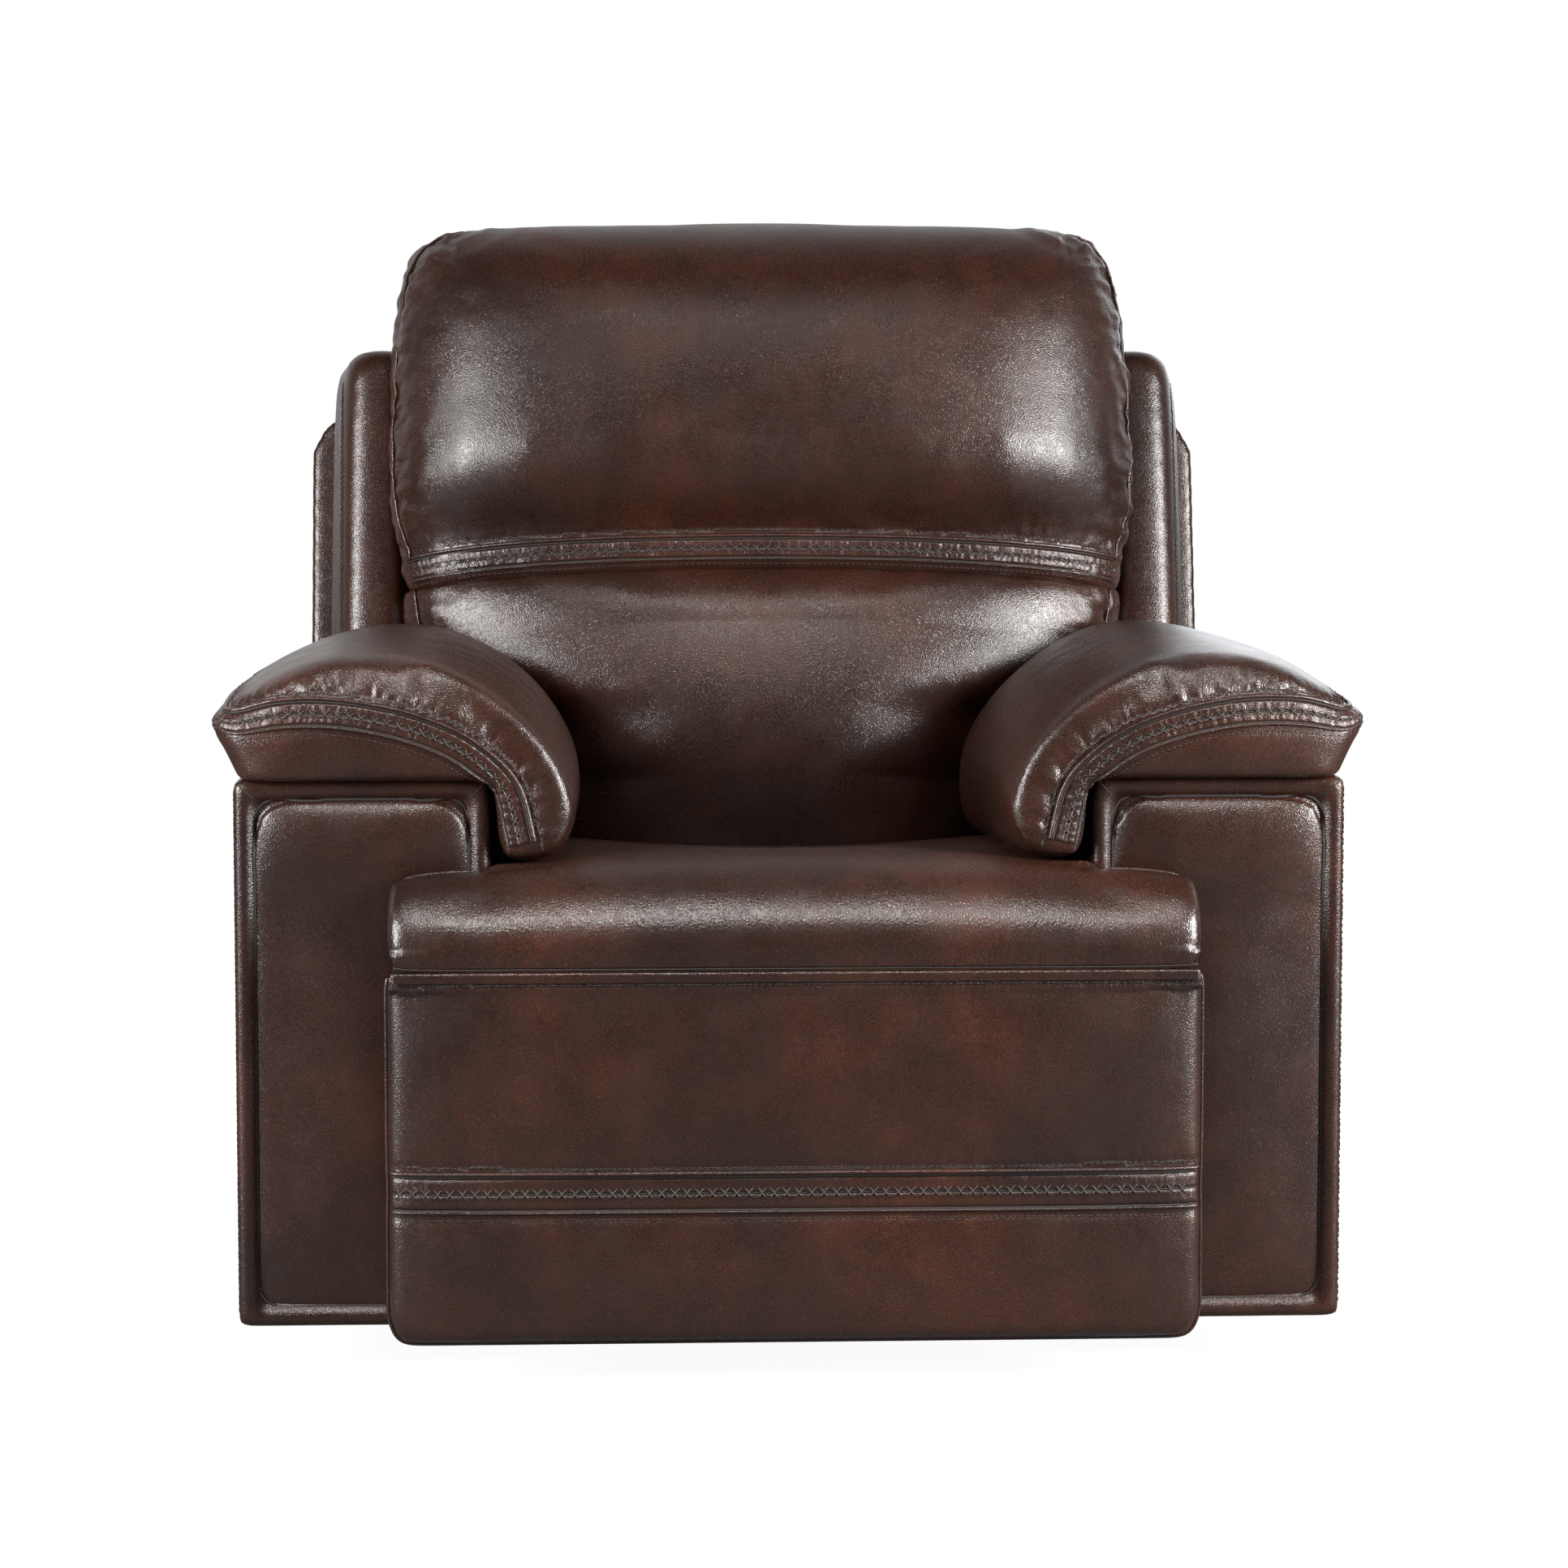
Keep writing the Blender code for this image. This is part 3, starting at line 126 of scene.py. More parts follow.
# Rubbing and dust on hard parts, as masks that change over the surface.
rubbing, group_in, group_out = new_effect(
    "rubbed_surface", {"Patch": ("Float", 18.0), "Peel": ("Float", 900.0)},
    {"Rubbed": "Float", "Dust": "Float", "Height": "Float"},
)
place = add_node(rubbing, "TexCoord").outputs["Object"]
patches = add_node(rubbing, "TexNoise", {"Vector": place, "Scale": group_in["Patch"], "Detail": 6.0})
streaks = add_node(rubbing, "TexNoise", {"Vector": place, "Scale": 140.0, "Detail": 3.0})
peel = add_node(rubbing, "TexNoise", {"Vector": place, "Scale": group_in["Peel"], "Detail": 2.0})
worn = calculate(rubbing, "MULTIPLY", patches.outputs[0], streaks.outputs[0])
rubbing.links.new(spread(rubbing, worn, 0.27, 0.40), group_out["Rubbed"])
rubbing.links.new(spread(rubbing, patches.outputs[0], 0.35, 0.75), group_out["Dust"])
rubbing.links.new(peel.outputs[0], group_out["Height"])


def make_coated_steel():
    finish, tree, shader = new_finish("satin_black_coat", (0.022, 0.022, 0.024), 0.42)
    effect = use_effect(tree, rubbing)
    colour = mix_colours(tree, effect["Rubbed"], (0.020, 0.020, 0.022, 1.0), (0.085, 0.083, 0.080, 1.0))
    tree.links.new(colour, shader.inputs["Base Color"])
    tree.links.new(spread(tree, effect["Dust"], 0.0, 1.0, 0.36, 0.56), shader.inputs["Roughness"])
    tree.links.new(spread(tree, effect["Rubbed"], 0.4, 1.0, 0.0, 0.7), shader.inputs["Metallic"])
    add_bump(tree, shader, effect["Height"], 0.25, 0.0004)
    return finish


def make_moulded_plastic():
    finish, tree, shader = new_finish("moulded_black_plastic", (0.018, 0.018, 0.019), 0.5)
    effect = use_effect(tree, rubbing, {"Patch": 9.0, "Peel": 2600.0})
    colour = mix_colours(tree, effect["Dust"], (0.014, 0.014, 0.015, 1.0), (0.034, 0.033, 0.032, 1.0))
    tree.links.new(colour, shader.inputs["Base Color"])
    tree.links.new(spread(tree, effect["Dust"], 0.0, 1.0, 0.40, 0.58), shader.inputs["Roughness"])
    add_bump(tree, shader, effect["Height"], 0.35, 0.0003)
    return finish


coated_steel = make_coated_steel()
moulded_plastic = make_moulded_plastic()
MERGE = 0.00001
SHARP_EDGE = math.radians(35.0)


def dress(finish, edge, *nodes):
    """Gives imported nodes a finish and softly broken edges."""
    for name in nodes:
        node = frame["nodes"][name]
        node.data.materials.clear()
        node.data.materials.append(finish)
        node.data.shade_smooth()
        weld = node.modifiers.new("weld", "WELD")
        weld.merge_threshold = MERGE
        soften = node.modifiers.new("edges", "BEVEL")
        soften.width = edge
        soften.segments = 2
        soften.limit_method = "ANGLE"
        soften.angle_limit = SHARP_EDGE
        soften.harden_normals = True


EDGE = 0.0007
SIDES = (("left", -1), ("right", 1))
for name, _ in SIDES:
    dress(coated_steel, EDGE, f"base_rail_{name}", f"glider_post_{name}")
    dress(moulded_plastic, EDGE, f"floor_glide_front_{name}", f"floor_glide_rear_{name}")
dress(coated_steel, EDGE, "base_cross_front", "base_cross_rear")

# Glider links: four flat steel bars that hang the chassis from the posts, pressed out and zinc plated,
# which leaves a faint spangle. They swing on shouldered rivets.


def make_zinc():
    finish, tree, shader = new_finish("zinc_plate", (0.52, 0.53, 0.55), 0.36, 1.0)
    where = add_node(tree, "TexCoord").outputs["Object"]
    spangle = add_node(tree, "TexVoronoi", {"Vector": where, "Scale": 260.0}).outputs["Color"]
    effect = use_effect(tree, rubbing, {"Patch": 30.0, "Peel": 1500.0})
    tone = spread(tree, spangle, 0.0, 1.0, 0.0, 0.55)
    colour = mix_colours(tree, tone, (0.46, 0.47, 0.49, 1.0), (0.66, 0.67, 0.69, 1.0))
    dulled = mix_colours(tree, effect["Rubbed"], colour, (0.30, 0.29, 0.28, 1.0))
    tree.links.new(dulled, shader.inputs["Base Color"])
    tree.links.new(spread(tree, effect["Dust"], 0.0, 1.0, 0.28, 0.50), shader.inputs["Roughness"])
    add_bump(tree, shader, effect["Height"], 0.12, 0.0003)
    return finish


zinc = make_zinc()
for name, _ in SIDES:
    dress(zinc, EDGE, f"glide_link_front_{name}", f"glide_link_rear_{name}")

# Chassis and seat frame: side plates with the glider and recline pivots, cross tubes, four rails under the
# seat and three sinuous springs clipped between them. Coated steel, the springs in bare spring wire.
for name, _ in SIDES:
    dress(coated_steel, EDGE, f"chassis_plate_{name}", f"seat_rail_{name}")
dress(coated_steel, EDGE, "chassis_tube_front", "chassis_tube_rear", "seat_rail_front", "seat_rail_rear")
WIRE_EDGE = 0.0003
dress(zinc, WIRE_EDGE, "seat_spring_1", "seat_spring_2", "seat_spring_3")

# Power drive: gear motor in a moulded housing, a drawn track, a moulded slider and the zinc plated tube
# that the slider pushes. It opens the legrest.
dress(moulded_plastic, EDGE, "motor_housing", "actuator_slider")
dress(zinc, EDGE, "actuator_track", "drive_tube")

# Legrest linkage and recline brackets: flat bars of coated steel, pressed out and riveted, with zinc plated
# tilt links. The brackets are screwed to the boards of the legrest and of the back.
for name, _ in SIDES:
    dress(coated_steel, EDGE, f"legrest_swing_front_{name}", f"legrest_swing_rear_{name}")
    dress(coated_steel, EDGE, f"legrest_carrier_{name}", f"legrest_bracket_{name}")
    dress(coated_steel, EDGE, f"back_bracket_{name}")
    dress(zinc, EDGE, f"legrest_tilt_{name}")

# Board of the legrest: twelve millimetre plywood, sawn, rounded at its edges and screwed to the brackets.
# It is left raw, and the pad's cover later hides its edge.


def make_plywood():
    finish, tree, shader = new_finish("raw_plywood", (0.47, 0.31, 0.17), 0.68)
    where = add_node(tree, "TexCoord").outputs["Object"]
    stretched = add_node(tree, "Mapping", {"Vector": where, "Scale": (30.0, 30.0, 2.2)}).outputs[0]
    rings = {"Vector": stretched, "Scale": 2.4, "Detail": 8.0, "Distortion": 0.8}
    grain = add_node(tree, "TexNoise", rings).outputs[0]
    pores = add_node(tree, "TexNoise", {"Vector": stretched, "Scale": 14.0, "Detail": 3.0}).outputs[0]
    tone = spread(tree, grain, 0.30, 0.72)
    colour = mix_colours(tree, tone, (0.33, 0.19, 0.09, 1.0), (0.60, 0.42, 0.25, 1.0))
    tree.links.new(colour, shader.inputs["Base Color"])
    tree.links.new(spread(tree, pores, 0.3, 0.7, 0.58, 0.78), shader.inputs["Roughness"])
    add_bump(tree, shader, calculate(tree, "ADD", grain, pores), 0.3, 0.0005)
    return finish


plywood = make_plywood()
dress(plywood, EDGE, "legrest_board")

# Seat cushion: a T shaped foam block with a full front roll, covered in antiqued leather. The cover is cut
# in panels, sewn with a thin welt along the lower edge of the roll and round the ears, and pulled over it.

# Antiqued hide: a near black brown with a fine pebble grain, and oxblood where the top colour is rubbed.
FINE_GRAIN = 480.0
SEAT_GRAIN = 460.0
TRIM_GRAIN = 640.0
hide, group_in, group_out = new_effect(
    "antiqued_hide",
    {"Vector": ("Vector", (0.0, 0.0, 0.0)), "Oxblood": ("Float", 0.5), "Grain": ("Float", FINE_GRAIN)},
    {"Color": "Color", "Roughness": "Float", "Height": "Float"},
)


def hide_noise(vector, scale, detail, roughness=0.5):
    inputs = {"Vector": vector, "Scale": scale, "Detail": detail, "Roughness": roughness}
    return add_node(hide, "TexNoise", inputs).outputs


place = add_node(hide, "TexCoord").outputs["Object"]
clouds = hide_noise(place, 5.5, 5.0, 0.62)[0]
blots = hide_noise(place, 24.0, 3.0, 0.6)[0]
wander = hide_noise(group_in["Vector"], 90.0, 2.0)["Color"]
shift = add_node(hide, "VectorMath", {0: wander, "Scale": 0.0026}, operation="SCALE").outputs[0]
warped = add_node(hide, "VectorMath", {0: group_in["Vector"], 1: shift}, operation="ADD").outputs[0]
cells = add_node(
    hide, "TexVoronoi", {"Vector": warped, "Scale": group_in["Grain"]}, feature="DISTANCE_TO_EDGE"
).outputs["Distance"]
pebble = spread(hide, cells, 0.0, 0.42)
creases = hide_noise(group_in["Vector"], 260.0, 4.0)[0]
rubbed = calculate(hide, "MULTIPLY", spread(hide, clouds, 0.42, 0.68), spread(hide, blots, 0.22, 0.78))
rubbed = calculate(hide, "MULTIPLY", rubbed, group_in["Oxblood"])
NEAR_BLACK = (0.0155, 0.0056, 0.0034, 1.0)
DARK_BROWN = (0.0310, 0.0101, 0.0054, 1.0)
OXBLOOD = (0.072, 0.0160, 0.0068, 1.0)
VALLEY_BROWN = (0.0062, 0.0025, 0.0017, 1.0)
tone = mix_colours(hide, spread(hide, clouds, 0.30, 0.62), NEAR_BLACK, DARK_BROWN)
tone = mix_colours(hide, rubbed, tone, OXBLOOD)
valleys = spread(hide, pebble, 0.0, 0.8, 0.72, 0.0)
tone = mix_colours(hide, valleys, tone, VALLEY_BROWN)
hide.links.new(tone, group_out["Color"])
DRESSED = 0.205
dull_blots = spread(hide, blots, 0.25, 0.75, 0.0, 0.07)
dull_valleys = spread(hide, pebble, 0.0, 1.0, 0.10, 0.0)
dulled = calculate(hide, "ADD", dull_blots, dull_valleys)
hide.links.new(calculate(hide, "ADD", dulled, DRESSED), group_out["Roughness"])
relief = calculate(hide, "ADD", pebble, calculate(hide, "MULTIPLY", creases, 0.3))
hide.links.new(relief, group_out["Height"])

# Fine gathers beside a sewn line, which run square to it: the cover stores its place along the line.
gathers, _, group_out = new_effect("fine_gathers", {}, {"Height": "Float"})
gathered = add_node(gathers, "Attribute", attribute_name="gather").outputs["Fac"]
beside = add_node(gathers, "Attribute", attribute_name="seam_place").outputs["Vector"]
scaled = add_node(gathers, "VectorMath", {0: beside, "Scale": 100.0}, operation="SCALE").outputs[0]
drawn = add_node(gathers, "Mapping", {"Vector": scaled, "Scale": (2.4, 0.34, 1.0)}).outputs[0]
folds = add_node(gathers, "TexNoise", {"Vector": drawn, "Scale": 1.0, "Detail": 3.0}).outputs[0]
gathers.links.new(calculate(gathers, "MULTIPLY", folds, gathered), group_out["Height"])
GATHER_DEPTH = 9.0


def make_leather(name, oxblood, grain=FINE_GRAIN, stretch=(1.0, 1.0, 1.0)):
    finish, tree, shader = new_finish(name, (0.024, 0.011, 0.008), 0.38)
    where = add_node(tree, "TexCoord").outputs["Object"]
    stretched = add_node(tree, "Mapping", {"Vector": where, "Scale": stretch}).outputs[0]
    skin = use_effect(tree, hide, {"Vector": stretched, "Oxblood": oxblood, "Grain": grain})
    folded = use_effect(tree, gathers)
    tree.links.new(skin["Color"], shader.inputs["Base Color"])
    tree.links.new(skin["Roughness"], shader.inputs["Roughness"])
    gathered = calculate(tree, "MULTIPLY", folded["Height"], GATHER_DEPTH)
    add_bump(tree, shader, calculate(tree, "ADD", skin["Height"], gathered), 0.8, 0.00016)
    return finish


leather = make_leather("antiqued_leather", 0.55)
seat_leather = make_leather("antiqued_leather_seat", 0.75, SEAT_GRAIN, (1.0, 1.0, 0.50))
panel_leather = make_leather("antiqued_leather_panel", 0.65)
trim_leather = make_leather("antiqued_leather_trim", 0.7, TRIM_GRAIN)


def make_thread():
    finish, tree, shader = new_finish("waxed_thread", (0.030, 0.016, 0.011), 0.5)
    where = add_node(tree, "TexCoord").outputs["Object"]
    ply = add_node(tree, "TexNoise", {"Vector": where, "Scale": 700.0, "Detail": 2.0}).outputs[0]
    colour = mix_colours(tree, ply, (0.007, 0.004, 0.003, 1.0), (0.026, 0.014, 0.010, 1.0))
    tree.links.new(colour, shader.inputs["Base Color"])
    tree.links.new(spread(tree, ply, 0.2, 0.8, 0.38, 0.62), shader.inputs["Roughness"])
    add_bump(tree, shader, ply, 0.4, 0.0003)
    return finish


# Painted seam shade: a near black finish for thin cords laid in seams, mitres and grooves where shade falls.
def make_seam_shade():
    finish, tree, shader = new_finish("seam_shadow", (0.004, 0.0025, 0.002), 0.7)
    where = add_node(tree, "TexCoord").outputs["Object"]
    lint = add_node(tree, "TexNoise", {"Vector": where, "Scale": 400.0}).outputs[0]
    colour = mix_colours(tree, lint, (0.0025, 0.0015, 0.0012, 1.0), (0.008, 0.005, 0.004, 1.0))
    tree.links.new(colour, shader.inputs["Base Color"])
    tree.links.new(spread(tree, lint, 0.3, 0.7, 0.62, 0.80), shader.inputs["Roughness"])
    return finish


thread = make_thread()
seam_shade = make_seam_shade()


def foam_of(node):
    """The shape under a cover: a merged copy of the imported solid."""
    bm = bmesh.new()
    bm.from_mesh(frame["nodes"][node].data)
    bmesh.ops.remove_doubles(bm, verts=bm.verts, dist=MERGE)
    return bm


def new_piece(name, bm, finish):
    mesh = bpy.data.meshes.new(name)
    bm.to_mesh(mesh)
    bm.free()
    mesh.materials.append(finish)
    mesh.shade_smooth()
    piece = bpy.data.objects.new(name, mesh)
    scene.collection.objects.link(piece)
    return piece


def evaluated(piece):
    """A piece as its modifiers make it."""
    bpy.context.view_layer.update()
    return piece.evaluated_get(bpy.context.evaluated_depsgraph_get())


def settle(piece):
    """Takes what the modifiers make as the piece's own mesh."""
    made = bpy.data.meshes.new_from_object(evaluated(piece))
    piece.modifiers.clear()
    piece.data = made
    made.shade_smooth()


def thicken(sheet, thickness, offset=-1.0):
    """Gives an open sheet its thickness, inwards or outwards."""
    body = sheet.modifiers.new("body", "SOLIDIFY")
    body.thickness = thickness
    body.offset = offset
    settle(sheet)


def read_points(mesh):
    found = np.empty(len(mesh.vertices) * 3, np.float32)
    mesh.vertices.foreach_get("co", found)
    return found.reshape(-1, 3)


def read_normals(mesh):
    found = np.empty(len(mesh.vertices) * 3, np.float32)
    mesh.vertex_normals.foreach_get("vector", found)
    return found.reshape(-1, 3)


def write_points(mesh, points):
    mesh.vertices.foreach_set("co", np.ascontiguousarray(points, np.float32).ravel())
    mesh.update()


def relax(piece, rounds, where=None):
    """Evens out a cover, all over or only where a test of the place says so."""
    bm = bmesh.new()
    bm.from_mesh(piece.data)
    verts = [v for v in bm.verts if where is None or where(v.co)]
    every_way = dict(use_axis_x=True, use_axis_y=True, use_axis_z=True)
    for _ in range(rounds):
        bmesh.ops.smooth_vert(bm, verts=verts, factor=0.5, **every_way)
    bm.to_mesh(piece.data)
    bm.free()


def pull_over(piece, node):
    """Stretches a cover so that it reaches the box of the foam again."""
    points = read_points(piece.data)
    low, high = points.min(axis=0), points.max(axis=0)
    foam_low, foam_high = (np.array(corner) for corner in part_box(node))
    to_low, to_high = np.minimum(low, foam_low), np.maximum(high, foam_high)
    write_points(piece.data, to_low + (points - low) * ((to_high - to_low) / (high - low)))


PRESSURE = 4.0
FILL_STEPS = 12
FILL_QUALITY = 3
FILL_START = 0.6   # how far inside the foam a cover starts to fill, in swells
FILL_LIMIT = 1.6   # how far it may go from there
FILL_ROUNDS = 5


def upholster(name, node, bm, finish, cell, swell, held, rounds, fine=1):
    """A cover over a node's foam: an even mesh, blown up by a cloth simulation where nothing holds it."""
    piece = new_piece(name, bm, finish)
    even = piece.modifiers.new("even", "REMESH")
    even.mode = "VOXEL"
    even.voxel_size = cell
    settle(piece)
    piece.data.materials.clear()
    piece.data.materials.append(finish)
    relax(piece, rounds)
    if swell:
        rest = read_points(piece.data)
        free = np.array([not held(p) for p in rest])
        start = rest - read_normals(piece.data) * (FILL_START * swell * free)[:, None]
        write_points(piece.data, start)
        pins = piece.vertex_groups.new(name="held")
        pins.add([int(i) for i in np.flatnonzero(~free)], 1.0, "REPLACE")
        cloth = piece.modifiers.new("fill", "CLOTH")
        cloth.settings.vertex_group_mass = "held"
        cloth.settings.quality = FILL_QUALITY
        cloth.settings.use_pressure = True
        cloth.settings.uniform_pressure_force = PRESSURE
        cloth.settings.effector_weights.gravity = 0.0
        cloth.collision_settings.use_collision = False
        for step in range(1, FILL_STEPS + 1):
            scene.frame_set(step)
        blown = read_points(piece.evaluated_get(bpy.context.evaluated_depsgraph_get()).data)
        piece.modifiers.clear()
        piece.vertex_groups.clear()
        scene.frame_set(1)
        move = blown - start
        length = np.linalg.norm(move, axis=1)
        limit = FILL_LIMIT * swell
        write_points(piece.data, start + move * (limit / np.maximum(length, limit))[:, None])
        relax(piece, FILL_ROUNDS)
    pull_over(piece, node)
    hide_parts(node)
    if fine:
        smooth = piece.modifiers.new("fine", "SUBSURF")
        smooth.levels = smooth.render_levels = fine
        settle(piece)
    return piece


Line = namedtuple("Line", "at normal across run surface")


def curve_through(points, step):
    """Even points on a smooth curve through a few points."""
    points = [Vector(p) for p in points]
    dense = []
    for i in range(len(points) - 1):
        a, b = points[max(i - 1, 0)], points[i]
        c, d = points[i + 1], points[min(i + 2, len(points) - 1)]
        count = max(int((c - b).length / step), 1)
        for k in range(count):
            t = k / count
            dense.append(0.5 * (
                2 * b + (c - a) * t + (2 * a - 5 * b + 4 * c - d) * t * t + (3 * b - a - 3 * c + d) * t ** 3
            ))
    return dense + [points[-1]]


SMOOTHING = 0.011


def surface_of(cover):
    bpy.context.view_layer.update()
    return BVHTree.FromObject(cover, bpy.context.evaluated_depsgraph_get())


STEP = 0.0030
FINE_STEP = 0.0014


def draw_line(cover, points, step=STEP, toward=None):
    """A line marked on a cover through a few points: the nearest places to them, or those they face."""
    surface = surface_of(cover)
    hits = []
    for p in curve_through(points, step):
        hit = surface.ray_cast(p, toward) if toward else (None, None)
        hits.append(hit if hit[0] else surface.find_nearest(p))
    at = np.array([h[0] for h in hits])
    normal = np.array([h[1] for h in hits])
    count = len(at)
    reach = int(SMOOTHING / step)
    for values in (at, normal):
        padded = np.concatenate([np.repeat(values[:1], reach, 0), values, np.repeat(values[-1:], reach, 0)])
        window = sum(padded[k:k + count] for k in range(2 * reach + 1)) / (2 * reach + 1)
        values[reach:-reach] = window[reach:-reach]
    apart = np.r_[True, np.linalg.norm(np.diff(at, axis=0), axis=1) > 0.1 * step]
    at, normal = at[apart], normal[apart]
    normal /= np.linalg.norm(normal, axis=1)[:, None]
    along = np.gradient(at, axis=0)
    along /= np.linalg.norm(along, axis=1)[:, None]
    across = np.cross(normal, along)
    across /= np.linalg.norm(across, axis=1)[:, None]
    run = np.concatenate([[0.0], np.cumsum(np.linalg.norm(np.diff(at, axis=0), axis=1))])
    return Line(at, normal, across, run, surface)


def renew(line, cover):
    """A line's hold on its cover after the cover has been drawn in."""
    return line._replace(surface=surface_of(cover))


TURNED_AWAY = -0.35   # a cover's other side, whose normals face away from the line's
FLAT_BESIDE = 0.004   # the gathers begin this far from the line


def sew(cover, line, depth, width, gather=0.0, reach=0.030, pitch=0.012, side=0):
    """Draws a cover in along a sewn line, and gathers it beside the line on one side or on both."""
    tree = KDTree(len(line.at))
    for i, p in enumerate(line.at):
        tree.insert(p, i)
    tree.balance()
    mesh = cover.data
    points, normals = read_points(mesh), read_normals(mesh)
    marks = {"gather": np.zeros(len(points), np.float32), "seam_place": np.zeros_like(points)}
    fields = {"gather": ("FLOAT", "value"), "seam_place": ("FLOAT_VECTOR", "vector")}
    for key, (kind, field) in fields.items():
        if key not in mesh.attributes:
            mesh.attributes.new(key, kind, "POINT")
        mesh.attributes[key].data.foreach_get(field, marks[key].reshape(-1))
    limit = max(reach, 3 * width)
    moved = points.copy()
    for i, p in enumerate(points):
        _, k, away = tree.find(p)
        if away > limit or normals[i] @ line.normal[k] < TURNED_AWAY:
            continue
        beside = float((p - line.at[k]) @ line.across[k])
        push = -depth * math.exp(-(away / width) ** 2)
        if away < reach and side * beside >= 0 and gather:
            fade = (1 - away / reach) ** 2
            place_on_line = Vector((line.run[k] / pitch, away * 22.0, line.at[0][0] * 7.0))
            ripple = noise.noise(place_on_line) + 0.6 * noise.noise(place_on_line * 2.3)
            push += gather * ripple * fade * min(away / FLAT_BESIDE, 1.0)
            if fade > marks["gather"][i]:
                marks["seam_place"][i] = (line.run[k], beside, line.at[0][0])
            marks["gather"][i] = abs(fade - marks["gather"][i])
        moved[i] = p + normals[i] * push
    write_points(mesh, moved)
    for key, (_, field) in fields.items():
        mesh.attributes[key].data.foreach_set(field, marks[key].reshape(-1))


def beside_line(line, k, offset, lift):
    """The place on the cover beside a point of a line, raised off it."""
    place, normal, _, _ = line.surface.find_nearest(line.at[k] + line.across[k] * offset)
    return place + (normal + Vector(line.normal[k])).normalized() * lift


STRIP_THICK = 0.0012
STRIP_ROWS = 30


def lay_strip(name, line, finish, edges, height):
    """A sewn strip along a line, from edge to edge across it, raised by a height of (across, along)."""
    bm = bmesh.new()
    bmesh.ops.create_grid(bm, x_segments=len(line.at) - 1, y_segments=STRIP_ROWS, size=1.0)
    low, high = edges
    for v in bm.verts:
        k = round((v.co.x + 1) / 2 * (len(line.at) - 1))
        w = low + (high - low) * (v.co.y + 1) / 2
        v.co = beside_line(line, k, w, height(w, line.run[k]))
    bm.normal_update()
    if sum(f.normal @ Vector(line.normal[0]) for f in bm.faces) < 0:
        bmesh.ops.reverse_faces(bm, faces=bm.faces)
    strip = new_piece(name, bm, finish)
    thicken(strip, STRIP_THICK)
    return strip


def lay_cord(name, line, finish, offset, radius, sink):
    """A thin cord beside a line: a sewn-in welt, or a near black cord of painted shade in the crease of a
    seam.
    """
    path = bpy.data.curves.new(name, "CURVE")
    path.dimensions = "3D"
    path.bevel_depth = radius
    path.bevel_resolution = 2
    path.use_fill_caps = True
    spline = path.splines.new("POLY")
    spots = np.array([beside_line(line, k, offset, radius - sink) for k in range(len(line.at))])
    spline.points.add(len(spots) - 1)
    spline.points.foreach_set("co", np.c_[spots, np.ones(len(spots))].astype(np.float32).ravel())
    drawn = bpy.data.objects.new(name + "_path", path)
    scene.collection.objects.link(drawn)
    mesh = bpy.data.meshes.new_from_object(evaluated(drawn))
    bpy.data.objects.remove(drawn)
    mesh.name = name
    mesh.materials.clear()
    mesh.materials.append(finish)
    mesh.shade_smooth()
    cord = bpy.data.objects.new(name, mesh)
    scene.collection.objects.link(cord)
    return cord


def lay_thread(bm, start, end, radius):
    """One stitch: a short round thread from hole to hole."""
    way = end - start
    turn = way.to_track_quat("Z", "Y").to_matrix().to_4x4()
    size = Matrix.Diagonal((radius, radius, way.length / 2, 1.0))
    matrix = Matrix.Translation((start + end) / 2) @ turn @ size
    bmesh.ops.create_icosphere(bm, subdivisions=1, radius=1.0, matrix=matrix)


def spot_on(line, run, offset, lift):
    """The place at a run along a line, beside it and above it."""
    k = min(int(np.searchsorted(line.run, run)), len(line.run) - 1)
    return beside_line(line, k, offset, lift)


STITCH = 0.0044
STITCH_GAP = 0.0012
THREAD = 0.00055


def stitch_row(name, line, offsets, lift):
    """Rows of straight stitches beside a line."""
    bm = bmesh.new()
    for offset in offsets:
        run = STITCH_GAP
        while run + STITCH < line.run[-1]:
            start, end = (spot_on(line, at, offset, lift) for at in (run, run + STITCH))
            lay_thread(bm, start, end, THREAD)
            run += STITCH + STITCH_GAP
    return new_piece(name, bm, thread)


CROSS_PITCH = 0.0108
CROSS_LENGTH = 0.86 * CROSS_PITCH
CROSS_START = 0.3 * CROSS_PITCH
CROSS_THREAD = 1.7 * THREAD


def cross_row(name, line, half, lift):
    """A row of crossed stitches along a line."""
    bm = bmesh.new()
    run = CROSS_START
    while run + CROSS_PITCH < line.run[-1]:
        for offset in (-half, half):
            start = spot_on(line, run, offset, lift)
            end = spot_on(line, run + CROSS_LENGTH, -offset, lift)
            lay_thread(bm, start, end, CROSS_THREAD)
        run += CROSS_PITCH
    return new_piece(name, bm, thread)


def ride_all(body, slot_name, *pieces):
    for piece in pieces:
        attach(piece, body)


seat_low, seat_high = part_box("seat_cushion")
EAR_HALF = seat_high.x
SEAT_FRONT = seat_low.y
ROLL_SEAM_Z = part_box("legrest_pad")[1].z + 0.0045
ROLL_TOP_Z = seat_high.z - 0.010
EAR_REAR = -0.4065
SEAT_TUCK_Y = 0.035
arm_low, arm_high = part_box("arm_right")


def seat_held(p):
    beside = abs(p[0]) > arm_low.x - 0.012 and p[1] > EAR_REAR
    return beside or p[2] < ROLL_SEAM_Z + 0.005 or p[1] > SEAT_TUCK_Y


node = "seat_cushion"
seat = upholster("seat_cushion_cover", node, foam_of(node), seat_leather, 0.007, 0.006, seat_held, 3)
